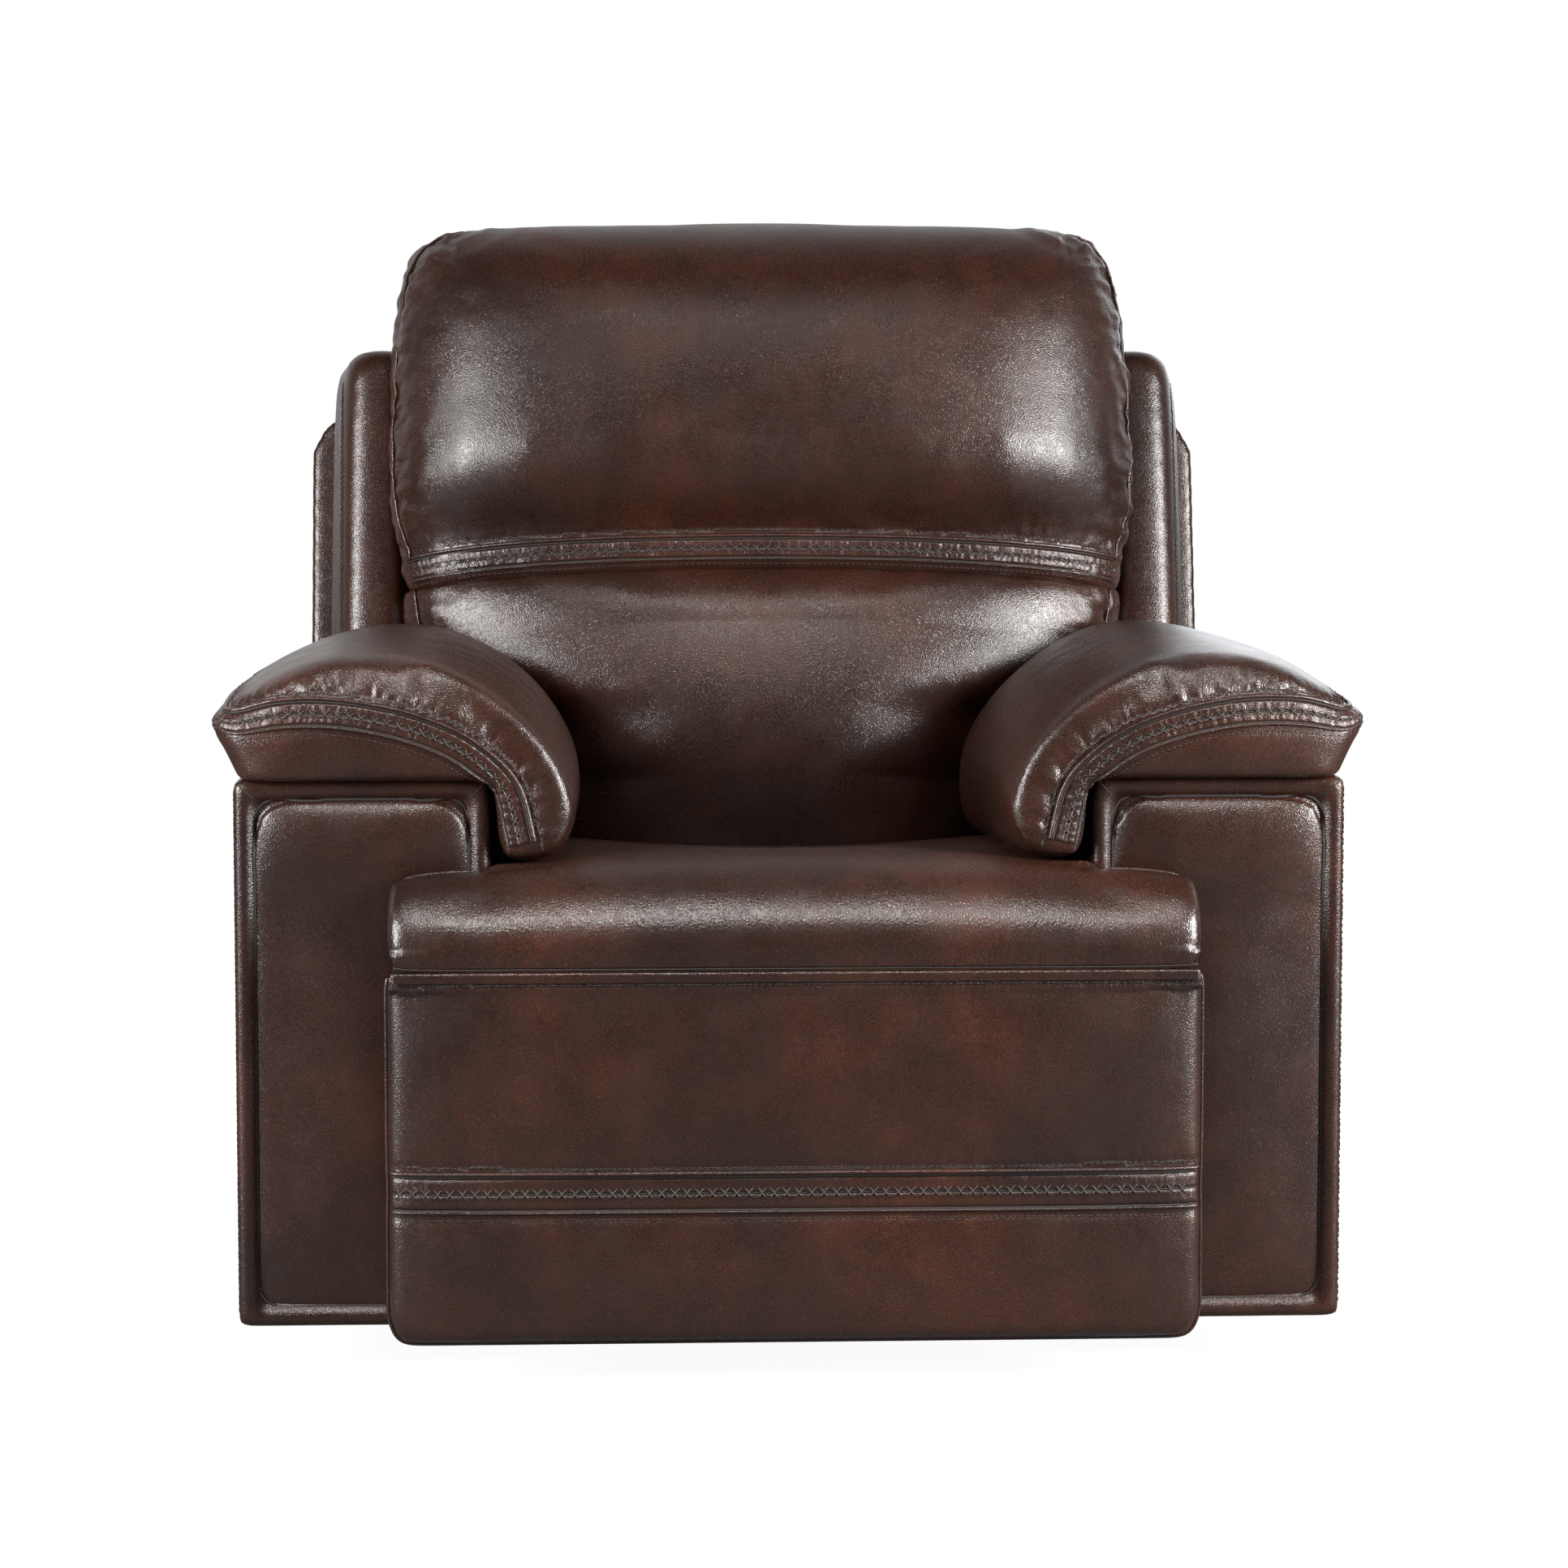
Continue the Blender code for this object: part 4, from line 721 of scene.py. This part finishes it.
# The deck reaches the arms, sinks in the middle towards the back and turns up beside the arms.
DECK_EDGE = 0.240
DECK_HALF = arm_low.x + 0.0002
DECK_UNDER_Z = 0.385
DISH_START_Y, DISH_LENGTH = -0.42, 0.25
DISH_HALF, DISH_RISE, DISH_SINK = 0.25, 0.034, 0.009
TURN_START, TURN_WIDTH, TURN_UP = 0.200, 0.060, 0.005
deck = read_points(seat.data)
off_middle = np.abs(deck[:, 0])
beside_arm = (off_middle > DECK_EDGE) & (deck[:, 1] > EAR_REAR + 0.004)
share = (off_middle - DECK_EDGE) / (off_middle[beside_arm].max() - DECK_EDGE)
widened = np.sign(deck[:, 0]) * (DECK_EDGE + share * (DECK_HALF - DECK_EDGE))
deck[beside_arm, 0] = widened[beside_arm]
upper = (deck[:, 1] > EAR_REAR) & (deck[:, 2] > DECK_UNDER_Z)
toward_back = np.clip((deck[:, 1] - DISH_START_Y) / DISH_LENGTH, 0.0, 1.0)
dish = toward_back * (DISH_RISE * np.clip(off_middle / DISH_HALF, 0.0, 1.0) ** 2 - DISH_SINK)
turned_up = TURN_UP * np.clip((off_middle - TURN_START) / TURN_WIDTH, 0.0, 1.0) ** 2
deck[upper, 2] += (dish + turned_up)[upper]
write_points(seat.data, deck)


EDGE_DEPTH = 0.018
EDGE_HEIGHT = 0.016
EDGE_LIP = 0.010


def sharpen_edge(cover, front, edge):
    """Makes a rolled edge crisper: its points come closer to the front face and to the edge's height."""
    points = read_points(cover.data)
    near = (np.abs(points[:, 2] - edge) < EDGE_HEIGHT) & (points[:, 1] < front + EDGE_DEPTH)
    points[near, 1] = front + (points[near, 1] - front) * 0.25
    near &= np.abs(points[:, 2] - edge) < EDGE_LIP
    points[near, 2] = edge + (points[near, 2] - edge) * 0.35
    write_points(cover.data, points)


def side_to_side(half, y, z, count=12):
    """Points from side to side at one height."""
    return [(x, y, z) for x in np.linspace(-half, half, count)]


sharpen_edge(seat, SEAT_FRONT + 0.0015, ROLL_SEAM_Z - 0.0020)
roll_seam = draw_line(seat, side_to_side(EAR_HALF - 0.006, SEAT_FRONT + 0.004, ROLL_SEAM_Z))
sew(seat, roll_seam, 0.0008, 0.005, 0.0008, 0.030, 0.014, 1)
seat_welt = lay_cord("seat_roll_welt", roll_seam, seat_leather, -0.0012, 0.0018, 0.0010)
# A near black cord beside the welt paints the shade in the seam.
seat_seam_shade = lay_cord("seat_roll_seam_shade", roll_seam, seam_shade, 0.0008, 0.0007, 0.0005)
ride_all("chassis", "leather", seat, seat_welt, seat_seam_shade)
EAR_WELT = 0.0020
ear_route = (   # in from the ear's side, ahead of its rear, height
    (0.0, 0.012, ROLL_SEAM_Z + 0.004), (0.0, 0.012, 0.412), (0.004, 0.012, 0.431), (0.016, 0.010, 0.444),
    (0.040, 0.008, ROLL_TOP_Z), (EAR_HALF - 0.278, 0.008, ROLL_TOP_Z + 0.001),
)
for name, side in SIDES:
    ear = draw_line(seat, [
        (side * (EAR_HALF - inward), EAR_REAR - forward, z) for inward, forward, z in ear_route
    ])
    welt = lay_cord(f"seat_ear_welt_{name}", ear, seat_leather, 0.0, EAR_WELT, 0.0008)
    ride_all("chassis", "leather", welt)

# Legrest pad: a thick flat pad on its board, closed by a leather panel with a sewn band across it, a welt
# round its sides and a row of topstitching under the upper edge.
leg_low, leg_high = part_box("legrest_pad")
LEG_BAND = (0.164, 0.194)
BAND_MID = sum(LEG_BAND) / 2
BAND_HALF = (LEG_BAND[1] - LEG_BAND[0]) / 2
board_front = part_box("legrest_board")[0].y


def leg_held(p):
    edge = abs(p[0]) > leg_high.x - 0.014 or p[2] > leg_high.z - 0.010 or p[2] < leg_low.z + 0.012
    return edge or p[1] > board_front - 0.010 or LEG_BAND[0] < p[2] < LEG_BAND[1]


node = "legrest_pad"
leg = upholster("legrest_cover", node, foam_of(node), panel_leather, 0.006, 0.004, leg_held, 2)
LEG_HALF = leg_high.x
sharpen_edge(leg, leg_low.y, leg_high.z)
INWARD = Vector((0.0, 1.0, 0.0))
leg_line = draw_line(leg, side_to_side(LEG_HALF - 0.004, leg_low.y - 0.1, BAND_MID), FINE_STEP, INWARD)

RIDGE, RIDGE_RISE = 0.0055, 0.0042
FOLD, FOLD_RISE = 0.0035, 0.0030
STRIP_RISE = 0.0020
STRIP_SINK = 0.0008
WIDE_GATHER, NARROW_GATHER = 0.0034, 0.0016


def band_height(half, rough):
    """Relief of a sewn band: a folded ridge, a gathered strip with a seam along it, and a thin fold."""
    def rounded(s, rise):
        return rise * math.sqrt(max(1 - (2 * s - 1) ** 2, 0.0)) - STRIP_SINK

    def height(w, run):
        if w > half:
            return rounded((w - half) / RIDGE, RIDGE_RISE)
        if w < -half:
            return rounded((-half - w) / FOLD, FOLD_RISE)
        s = abs(w) / half
        full = (1 - math.exp(-((1 - s) / 0.16) ** 2)) * (1 - math.exp(-(s / 0.07) ** 2))
        ripple = noise.noise(Vector((run / WIDE_GATHER, w * 60.0, 4.0 if w > 0 else 9.0)))
        ripple += 0.6 * noise.noise(Vector((run / NARROW_GATHER, w * 90.0, 2.0)))
        return -0.0007 + full * (STRIP_RISE + rough * ripple * s * (1.35 - s))
    return height


SEAM_IN = 0.0012
GATHER_PITCH = 0.0082


def sew_band(prefix, body, cover, line, half, gather, reach, rough):
    """A sewn band with its crossed stitches, edge folds, near black cords of painted shade in its seams and
    rows of topstitching.
    """
    sew(cover, line, SEAM_IN, half * 1.1)
    low, high = -half - FOLD, half + RIDGE
    for edge, side, fullness in ((high + 0.002, 1, gather), (low - 0.002, -1, 0.0)):
        moved = line._replace(at=line.at + line.across * edge)
        sew(cover, moved, SEAM_IN, 0.004, fullness, reach, GATHER_PITCH, side)
    line = renew(line, cover)
    ride_all(
        body, "leather",
        lay_strip(f"{prefix}_strip", line, trim_leather, (low, high), band_height(half, rough)),
        cross_row(f"{prefix}_crosses", line, half * 0.40, 0.0014),
        stitch_row(f"{prefix}_topstitch", line, (high + 0.0026, low - 0.0040), 0.0006),
        # Near black cords paint the shade in the band's two edge seams and its middle seam.
        lay_cord(f"{prefix}_seam_shade_upper", line, seam_shade, half, 0.0012, 0.0008),
        lay_cord(f"{prefix}_seam_shade_lower", line, seam_shade, -half, 0.0011, 0.0008),
        lay_cord(f"{prefix}_seam_shade_middle", line, seam_shade, 0.0, 0.0009, 0.0008),
    )


sew_band("legrest_band", "legrest", leg, leg_line, BAND_HALF, 0.0010, 0.028, 0.0007)
top_line = draw_line(leg, side_to_side(LEG_HALF - 0.006, leg_low.y + 0.002, leg_high.z - 0.010))
sew(leg, top_line, 0.0008, 0.004, 0.0007, 0.022, 0.012, -1)
# The panel's upper edge is turned under, a flat fold between the seam and the topstitching.
FOLD_HEIGHT = 0.0095
FOLD_THICK = 0.0016
FOLD_PROUD = 0.0007
FOLD_LAP = 0.0014
FOLD_WAVE = 0.0003
TURN_SHARE = 0.28
bm = bmesh.new()
bmesh.ops.create_grid(bm, x_segments=260, y_segments=8, size=1.0)
for v in bm.verts:
    rise = (v.co.y + 1) / 2
    wave = FOLD_WAVE * noise.noise(Vector((v.co.x * 40.0, rise * 2.0, 3.0)))
    turned = FOLD_THICK * max((rise - 1 + TURN_SHARE) / TURN_SHARE, 0.0) ** 2
    v.co = (
        v.co.x * (LEG_HALF - 0.005), leg_low.y - FOLD_PROUD + turned - wave,
        leg_high.z + FOLD_LAP - FOLD_HEIGHT * (1 - rise) + wave,
    )
top_fold = new_piece("legrest_top_fold", bm, panel_leather)
thicken(top_fold, FOLD_THICK)
WELT_Y = board_front - 0.050
down_side = [(LEG_HALF, z) for z in np.linspace(leg_high.z - 0.006, leg_low.z + 0.045, 6)]
down_side += [(LEG_HALF - 0.004, leg_low.z + 0.018), (LEG_HALF - 0.018, leg_low.z + 0.004)]
edge_line = draw_line(leg, [
    *((-x, WELT_Y, z) for x, z in down_side), *side_to_side(LEG_HALF - 0.05, WELT_Y, leg_low.z, 8),
    *((x, WELT_Y, z) for x, z in down_side[::-1]),
])
# The cover is pulled round the board's edge and stapled behind it.
WRAP = 0.026
WRAP_THICK = 0.0009
bm = foam_of("legrest_board")
bmesh.ops.dissolve_limit(bm, angle_limit=math.radians(1.0), verts=bm.verts, edges=bm.edges)
by_side = sorted(bm.faces, key=lambda f: f.normal.y * f.calc_area())
against_pad, behind_board = by_side[0], by_side[-1]
bmesh.ops.inset_region(bm, faces=[behind_board], thickness=WRAP, use_even_offset=True)
bmesh.ops.delete(bm, geom=[against_pad, behind_board], context="FACES_ONLY")
wrap = new_piece("legrest_wrap", bm, panel_leather)
thicken(wrap, WRAP_THICK, 1.0)
ride_all(
    "legrest", "leather", leg, wrap, top_fold, stitch_row("legrest_topstitch", top_line, (0.0,), 0.0004),
    lay_cord("legrest_welt", edge_line, panel_leather, 0.0, 0.0022, 0.0012),
)

# Arms: padded boxes on the chassis. The front is a rolled border, mitred at its corners, round a puffed
# panel; the sides are plain panels pulled tight over thin foam and stapled underneath.
BORDER = 0.016
BORDER_ROUND = 0.0068
POCKET = 0.011
NOTCH_Y = 0.2035
NOTCH_Z = 0.375


def pull_face(bm, face, move):
    """Draws a face out along a way; the first face stays behind."""
    pulled = bmesh.ops.extrude_face_region(bm, geom=[face])["geom"]
    bmesh.ops.translate(bm, verts=[g for g in pulled if isinstance(g, bmesh.types.BMVert)], vec=move)


def arm_box(side):
    """The arm's foam: an outline pulled across, with the front let in and every edge rolled."""
    bm = bmesh.new()
    outline = [
        (arm_low.y, arm_low.z), (arm_high.y, arm_low.z), (arm_high.y, NOTCH_Z), (NOTCH_Y, arm_high.z),
        (arm_low.y, arm_high.z),
    ]
    start = bm.faces.new([bm.verts.new((side * arm_low.x, y, z)) for y, z in outline])
    pull_face(bm, start, (side * (arm_high.x - arm_low.x), 0.0, 0.0))
    bmesh.ops.recalc_face_normals(bm, faces=bm.faces)
    front = min(bm.faces, key=lambda f: f.calc_center_median().y)
    bmesh.ops.inset_region(bm, faces=[front], thickness=BORDER, use_even_offset=True)
    pull_face(bm, front, (0.0, POCKET, 0.0))
    bmesh.ops.delete(bm, geom=[front], context="FACES_ONLY")
    bmesh.ops.recalc_face_normals(bm, faces=bm.faces)
    sharp = [e for e in bm.edges if e.calc_face_angle(0.0) > math.radians(20.0)]
    bmesh.ops.bevel(
        bm, geom=sharp, offset=BORDER_ROUND, offset_type="OFFSET", segments=4, profile=0.5, material=-1,
        affect="EDGES", clamp_overlap=True,
    )
    return bm


PUFF = 0.012
PUFF_HEIGHT = 0.110
IN_BORDER_Y = arm_low.y + 0.0075
RIM_Y = arm_low.y + 0.004
FAR_IN = 0.040
CORNER_TURN = ((0.0, 0.020), (0.006, 0.006), (0.020, 0.0), (FAR_IN, 0.0))   # in from the corner, x and z


def facing_held(p):
    return p[1] > IN_BORDER_Y


for name, side in SIDES:
    node = f"arm_{name}"
    arm = upholster(f"arm_cover_{name}", node, arm_box(side), panel_leather, 0.0055, 0.0, None, 2, 0)
    node = f"arm_facing_{name}"
    cover_name = f"arm_facing_cover_{name}"
    facing = upholster(cover_name, node, foam_of(node), panel_leather, 0.005, 0.006, facing_held, 5)
    low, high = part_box(node)
    puffed = read_points(facing.data)
    u = np.abs(puffed[:, 0] - (low.x + high.x) / 2) / ((high.x - low.x) / 2)
    w = np.clip(1 - (high.z - puffed[:, 2]) / PUFF_HEIGHT, 0.0, 1.0)
    full = w * w * (3 - 2 * w) * np.sqrt(np.clip(1 - u ** 6, 0.0, 1.0) * np.clip(1 - w ** 6, 0.0, 1.0))
    ahead_of_border = puffed[:, 1] < IN_BORDER_Y
    puffed[ahead_of_border, 1] -= (PUFF * full)[ahead_of_border]
    write_points(facing.data, puffed)
    inner, outer = side * arm_low.x, side * arm_high.x
    # Near black cords paint the shade in the border's mitres, in the groove round the puffed panel and in
    # the seam down the outer side.
    shade_cords = []
    for number, (x, step) in enumerate(((inner, side), (outer, -side))):
        corner = draw_line(arm, [
            (x + step * reach, arm_low.y, arm_high.z - reach) for reach in (0.003, 0.008, 0.013, 0.018)
        ], 0.001)
        shade_cords.append(lay_cord(f"arm_mitre_{name}_{number}", corner, seam_shade, 0.0, 0.0007, 0.0009))
    edge = draw_line(arm, [
        (outer, arm_low.y + 0.012, z) for z in np.linspace(arm_low.z + 0.012, arm_high.z - 0.010, 6)
    ])
    straight = np.linspace(low.z + FAR_IN, high.z - FAR_IN, 6)
    rim = draw_line(facing, [(x, RIM_Y, z) for x, z in (
        *((low.x, z) for z in straight), *((low.x + i, high.z - k) for i, k in CORNER_TURN),
        *((high.x - i, high.z - k) for i, k in CORNER_TURN[::-1]), *((high.x, z) for z in straight[::-1]),
        *((high.x - i, low.z + k) for i, k in CORNER_TURN),
        *((low.x + i, low.z + k) for i, k in CORNER_TURN[::-1]), (low.x, low.z + FAR_IN),
    )])
    shade_cords.append(lay_cord(f"arm_facing_crease_{name}", rim, seam_shade, 0.0, 0.0014, 0.0006))
    ride_all(
        "chassis", "leather_panel", arm, facing, *shade_cords,
        lay_cord(f"arm_side_crease_{name}", edge, seam_shade, 0.0, 0.0007, 0.0008),
        stitch_row(f"arm_side_topstitch_{name}", edge, (0.006, -0.006), 0.0003),
    )

# Arm pads: deep pillows on the boxes, cut to roll down over the inner side. A sewn band with crossed
# stitches runs along the outer side, over the front and down the drape, and the pillow is gathered into it.
pad_low, pad_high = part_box("arm_pad_right")
PAD_BAND_HALF = 0.0105
PAD_SEAM_Z = 0.588
PAD_REAR_Y = 0.065
DRAPE_TOP_Z, DRAPE_EASE, DRAPE_DROP = 0.525, 0.050, 0.008
pad_front, pad_tip = pad_low.y, pad_high.x
# The band's route on the right pad: along the side, round the corner, across the front, down the drape.
pad_route = [
    *((pad_tip, y, PAD_SEAM_Z) for y in (0.165, -0.02, -0.20, -0.34)), (pad_tip - 0.002, -0.385, PAD_SEAM_Z),
    (pad_tip - 0.010, pad_front + 0.014, PAD_SEAM_Z), (pad_tip - 0.026, pad_front + 0.003, PAD_SEAM_Z),
    *((x, pad_front, z) for x, z in (
        (0.440, 0.592), (0.400, 0.591), (0.360, 0.585), (0.330, 0.577), (0.298, 0.564),
        (0.270, 0.544), (0.252, 0.522), (0.245, 0.498), (0.240, 0.476),
    )),
]


def pad_held(p):
    return p[2] < arm_high.z + 0.006 and abs(p[0]) > arm_low.x - 0.006 or abs(p[0]) > pad_high.x - 0.008


for name, side in SIDES:
    node = f"arm_pad_{name}"
    pad = upholster(f"arm_pad_cover_{name}", node, foam_of(node), leather, 0.006, 0.004, pad_held, 5)
    relax(pad, 8, lambda p: p.y > PAD_REAR_Y)
    hung = read_points(pad.data)
    drape = np.abs(hung[:, 0]) < arm_low.x - 0.001
    hung[drape, 2] -= (DRAPE_DROP * np.clip((DRAPE_TOP_Z - hung[:, 2]) / DRAPE_EASE, 0.0, 1.0))[drape]
    write_points(pad.data, hung)
    band_line = draw_line(pad, [(side * x, y, z) for x, y, z in pad_route], FINE_STEP)
    if side > 0:
        band_line = band_line._replace(across=-band_line.across)
    sew_band(f"arm_band_{name}", "chassis", pad, band_line, PAD_BAND_HALF, 0.0046, 0.034, 0.0014)
    ride_all("chassis", "leather", pad)

# Control plate: a moulded plate let into the outer face of one arm, with two push buttons that run in it.
# Black plastic, moulded with a fine texture and clipped in from outside.
dress(moulded_plastic, EDGE, "control_plate", "button_recline", "button_upright")

# Back cushions: a lumbar pillow below and a head pillow above, sewn into one cover with a band between.
# Loose fibre over foam in antiqued leather, welted down both sides, the head pillow gathered at its corners.
LEAN = math.radians(13.0)
pivot = next(j for j in frame["joints"] if j["name"] == "recline")["pos_m"]
back_frame = Matrix.Translation(pivot) @ Matrix.Rotation(-LEAN, 4, "X")
to_back = back_frame.inverted()
BACK_BAND_HALF = 0.0100
BACK_BAND_V = 0.3336
BACK_BAND_DROP = 0.0145
BACK_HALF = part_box("back_cushion_head")[1].x


def band_sag(x):
    """How far the band has dropped from its middle at a place across the back."""
    return BACK_BAND_DROP * (x / BACK_HALF) ** 2


def head_held(p):
    q = to_back @ Vector(p)
    return q.y > -0.012 or q.z < BACK_BAND_V + 0.018 - band_sag(q.x)


def lumbar_held(p):
    return (to_back @ Vector(p)).y > -0.014


def reshape(cover, move):
    """Moves a cover's points by a rule in the back's own frame: x across, t rearwards, v up the back."""
    points = read_points(cover.data)
    for point in points:
        point[:] = back_frame @ Vector(move(*(to_back @ Vector(point))))
    write_points(cover.data, points)


def ease(value, start, length):
    return min(max((value - start) / length, 0.0), 1.0)


node = "back_cushion_lumbar"
lumbar = upholster("lumbar_cover", node, foam_of(node), leather, 0.007, 0.008, lumbar_held, 5)
node = "back_cushion_head"
head = upholster("head_cover", node, foam_of(node), leather, 0.007, 0.008, head_held, 6)
# The head pillow is fullest just above the band.
HEAD_BELLY = 0.012
HEAD_FULL_V, HEAD_FULL_SPAN = 0.395, 0.055


def fill_head(x, t, v):
    if t > -0.02:
        return x, t, v
    full = HEAD_BELLY * math.exp(-((v - HEAD_FULL_V) / HEAD_FULL_SPAN) ** 2)
    return x, t - full * max(1 - (x / BACK_HALF) ** 4, 0.0), v


reshape(head, fill_head)
# The lumbar cover is drawn up under the lower fold of the band, widens to the welts and falls away sideways.
TUCK_UP = 0.006
TUCK_OUT = 0.007
TUCK_V = BACK_BAND_V - 0.0171
BELLY = 0.040
BELLY_FLAT, BELLY_FLARE, BELLY_EASE = 0.05, 0.28, 0.17
WIDEN = 0.024


def fill_lumbar(x, t, v):
    near = ease(v, TUCK_V - band_sag(x) - 0.060, 0.050) if t < 0.0 else 0.0
    flat = BELLY_FLAT + BELLY_FLARE * ease(v, 0.100, 0.185)
    fall = BELLY * ease(abs(x), flat, BELLY_EASE) ** 2 if t < -0.03 else 0.0
    wide = 1 + WIDEN * ease(v, 0.20, 0.07)
    return x * wide, t - TUCK_OUT * near + fall, v + TUCK_UP * near


reshape(lumbar, fill_lumbar)

ahead = back_frame.to_3x3() @ Vector((0.0, 1.0, 0.0))
back_line = draw_line(head, [
    back_frame @ Vector((x, -0.25, BACK_BAND_V - band_sag(x)))
    for x in np.linspace(-BACK_HALF + 0.022, BACK_HALF - 0.022, 16)
], FINE_STEP, ahead)
sew_band("back_band", "back", head, back_line, BACK_BAND_HALF, 0.0020, 0.045, 0.0016)

# Welts down the sides of both pillows and over the head pillow's corners, which draw the cover into folds.
SIDE_T = -0.045
CORNER = 0.078
CORNER_X, CORNER_V = 0.294, 0.612
BACK_WELT = 0.0016
head_route = [
    (0.362, 0.312), (0.366, 0.330), (0.376, 0.365), (0.3825, 0.41), (0.3825, 0.47), (0.379, 0.54),
    (0.374, 0.59),
]
for turn in np.radians((20.0, 40.0, 60.0, 80.0)):
    head_route.append((CORNER_X + CORNER * math.cos(turn), CORNER_V + CORNER * math.sin(turn)))
lumbar_route = [(0.357, 0.205), (0.366, 0.25), (0.371, 0.30), (0.372, 0.322)]
sides_of_back = (("head", head, head_route, 0.0070), ("lumbar", lumbar, lumbar_route, 0.0050))
for name, side in SIDES:
    for part, cover, route, gather in sides_of_back:
        edge = draw_line(cover, [back_frame @ Vector((side * x, SIDE_T, v)) for x, v in route])
        sew(cover, edge, 0.0015, 0.006, gather, 0.095, 0.024)
        welt = lay_cord(f"{part}_welt_{name}", renew(edge, cover), trim_leather, 0.0, BACK_WELT, 0.0006)
        ride_all("back", "leather", welt)
ride_all("back", "leather", lumbar, head)

# Wings: upright bolsters at the sides of the back, foam under a pulled cover, topstitched beside the seam
# to the outside back.
WING_OUTER = 0.447
for name, side in SIDES:
    node = f"back_wing_{name}"
    wing = upholster(f"wing_cover_{name}", node, foam_of(node), leather, 0.006, 0.0, None, 5)
    seam = draw_line(wing, [
        back_frame @ Vector((side * (WING_OUTER - 0.014), -0.30, v)) for v in np.linspace(0.215, 0.535, 8)
    ], toward=ahead)
    sew(wing, seam, 0.0012, 0.004)
    # A near black cord paints the shade in the seam.
    ride_all(
        "back", "leather", wing, stitch_row(f"wing_topstitch_{name}", seam, (0.0042, -0.0042), 0.0003),
        lay_cord(f"wing_crease_{name}", seam, seam_shade, 0.0, 0.0007, 0.0009),
    )

# Outside back and rear skirt: flat leather panels over the back frame and between the arms, thinly padded.
# The plywood board that the back is built on is wrapped in the same leather, so its edge shows no wood.
dress(panel_leather, EDGE, "back_board")
node = "outside_back"
shell = upholster("outside_back_cover", node, foam_of(node), panel_leather, 0.005, 0.0, None, 8, 0)
ride_all("back", "leather", shell)
node = "rear_skirt"
skirt = upholster("rear_skirt_cover", node, foam_of(node), panel_leather, 0.005, 0.0, None, 2, 0)
ride_all("chassis", "leather_panel", skirt)

# Studio: a pale floor that looks white, two large soft boxes at the sides, a soft top light, a weak light
# from behind, and the camera nearly straight ahead.
FLOOR_GREYS = ((0.115, 0.115, 0.115, 1.0), (0.125, 0.125, 0.125, 1.0))
FLOOR_GLOW = 0.95


def make_floor():
    finish, tree, shader = new_finish("pale_floor", (0.12, 0.12, 0.12), 0.9)
    where = add_node(tree, "TexCoord").outputs["Object"]
    mottle = add_node(tree, "TexNoise", {"Vector": where, "Scale": 3.0}).outputs[0]
    tree.links.new(mix_colours(tree, mottle, *FLOOR_GREYS), shader.inputs["Base Color"])
    shader.inputs["Emission Color"].default_value = (1.0, 1.0, 1.0, 1.0)
    seen = add_node(tree, "LightPath").outputs["Is Camera Ray"]
    tree.links.new(calculate(tree, "MULTIPLY", seen, FLOOR_GLOW), shader.inputs["Emission Strength"])
    return finish


bm = bmesh.new()
bmesh.ops.create_grid(bm, x_segments=1, y_segments=1, size=40.0)
floor = new_piece("floor", bm, make_floor())


def soft_box(name, spot, aim, width, height, power, colour, spill):
    lamp = bpy.data.lights.new(name, "AREA")
    lamp.shape = "RECTANGLE"
    lamp.size = width
    lamp.size_y = height
    lamp.energy = power
    lamp.color = colour
    lamp.spread = math.radians(spill)
    holder = bpy.data.objects.new(name, lamp)
    holder.location = spot
    holder.rotation_euler = (Vector(aim) - Vector(spot)).to_track_quat("-Z", "Y").to_euler()
    scene.collection.objects.link(holder)


BACK_MID = (0.0, 0.0, 0.75)
ROLL_FRONT = (0.0, -0.49, 0.37)
soft_box("soft_box_left", (-2.40, -1.65, 1.30), BACK_MID, 1.0, 1.5, 175.0, (1.0, 0.99, 0.98), 180.0)
soft_box("soft_box_right", (2.32, -1.66, 1.32), BACK_MID, 0.9, 1.5, 225.0, (1.0, 0.98, 0.96), 180.0)
soft_box("top_light", (0.0, -1.9, 2.6), ROLL_FRONT, 1.7, 1.3, 5.0, (1.0, 0.97, 0.93), 25.0)
soft_box("rear_light", (1.6, 3.0, 1.7), BACK_MID, 1.6, 1.6, 18.0, (0.90, 0.95, 1.0), 180.0)

world = bpy.data.worlds.new("white_room")
world.use_nodes = True
scene.world = world
room = world.node_tree
seen = add_node(room, "LightPath").outputs["Is Camera Ray"]
toward = add_node(room, "SeparateXYZ", {0: add_node(room, "TexCoord").outputs["Generated"]}).outputs["Y"]
behind = spread(room, toward, 0.05, 0.75, 0.015, 0.75)
glow = calculate(room, "MAXIMUM", seen, behind)
room.links.new(glow, room.nodes["Background"].inputs["Strength"])
room.nodes["Background"].inputs["Color"].default_value = (1.0, 1.0, 1.0, 1.0)

PHOTO_SIDE = 1932      # pixels
FOCAL_PIXELS = 5171.7
LOOK_DOWN = math.radians(5.084)
LOOK_RIGHT = math.radians(2.686)
lens = bpy.data.cameras.new("camera")
lens.sensor_width = 36.0
lens.lens = FOCAL_PIXELS / PHOTO_SIDE * lens.sensor_width
camera = bpy.data.objects.new("camera", lens)
camera.location = (-0.180, -4.080, 0.855)
camera.rotation_euler = (math.radians(90.0) - LOOK_DOWN, 0.0, -LOOK_RIGHT)
scene.collection.objects.link(camera)
scene.camera = camera
scene.view_settings.view_transform = "Standard"
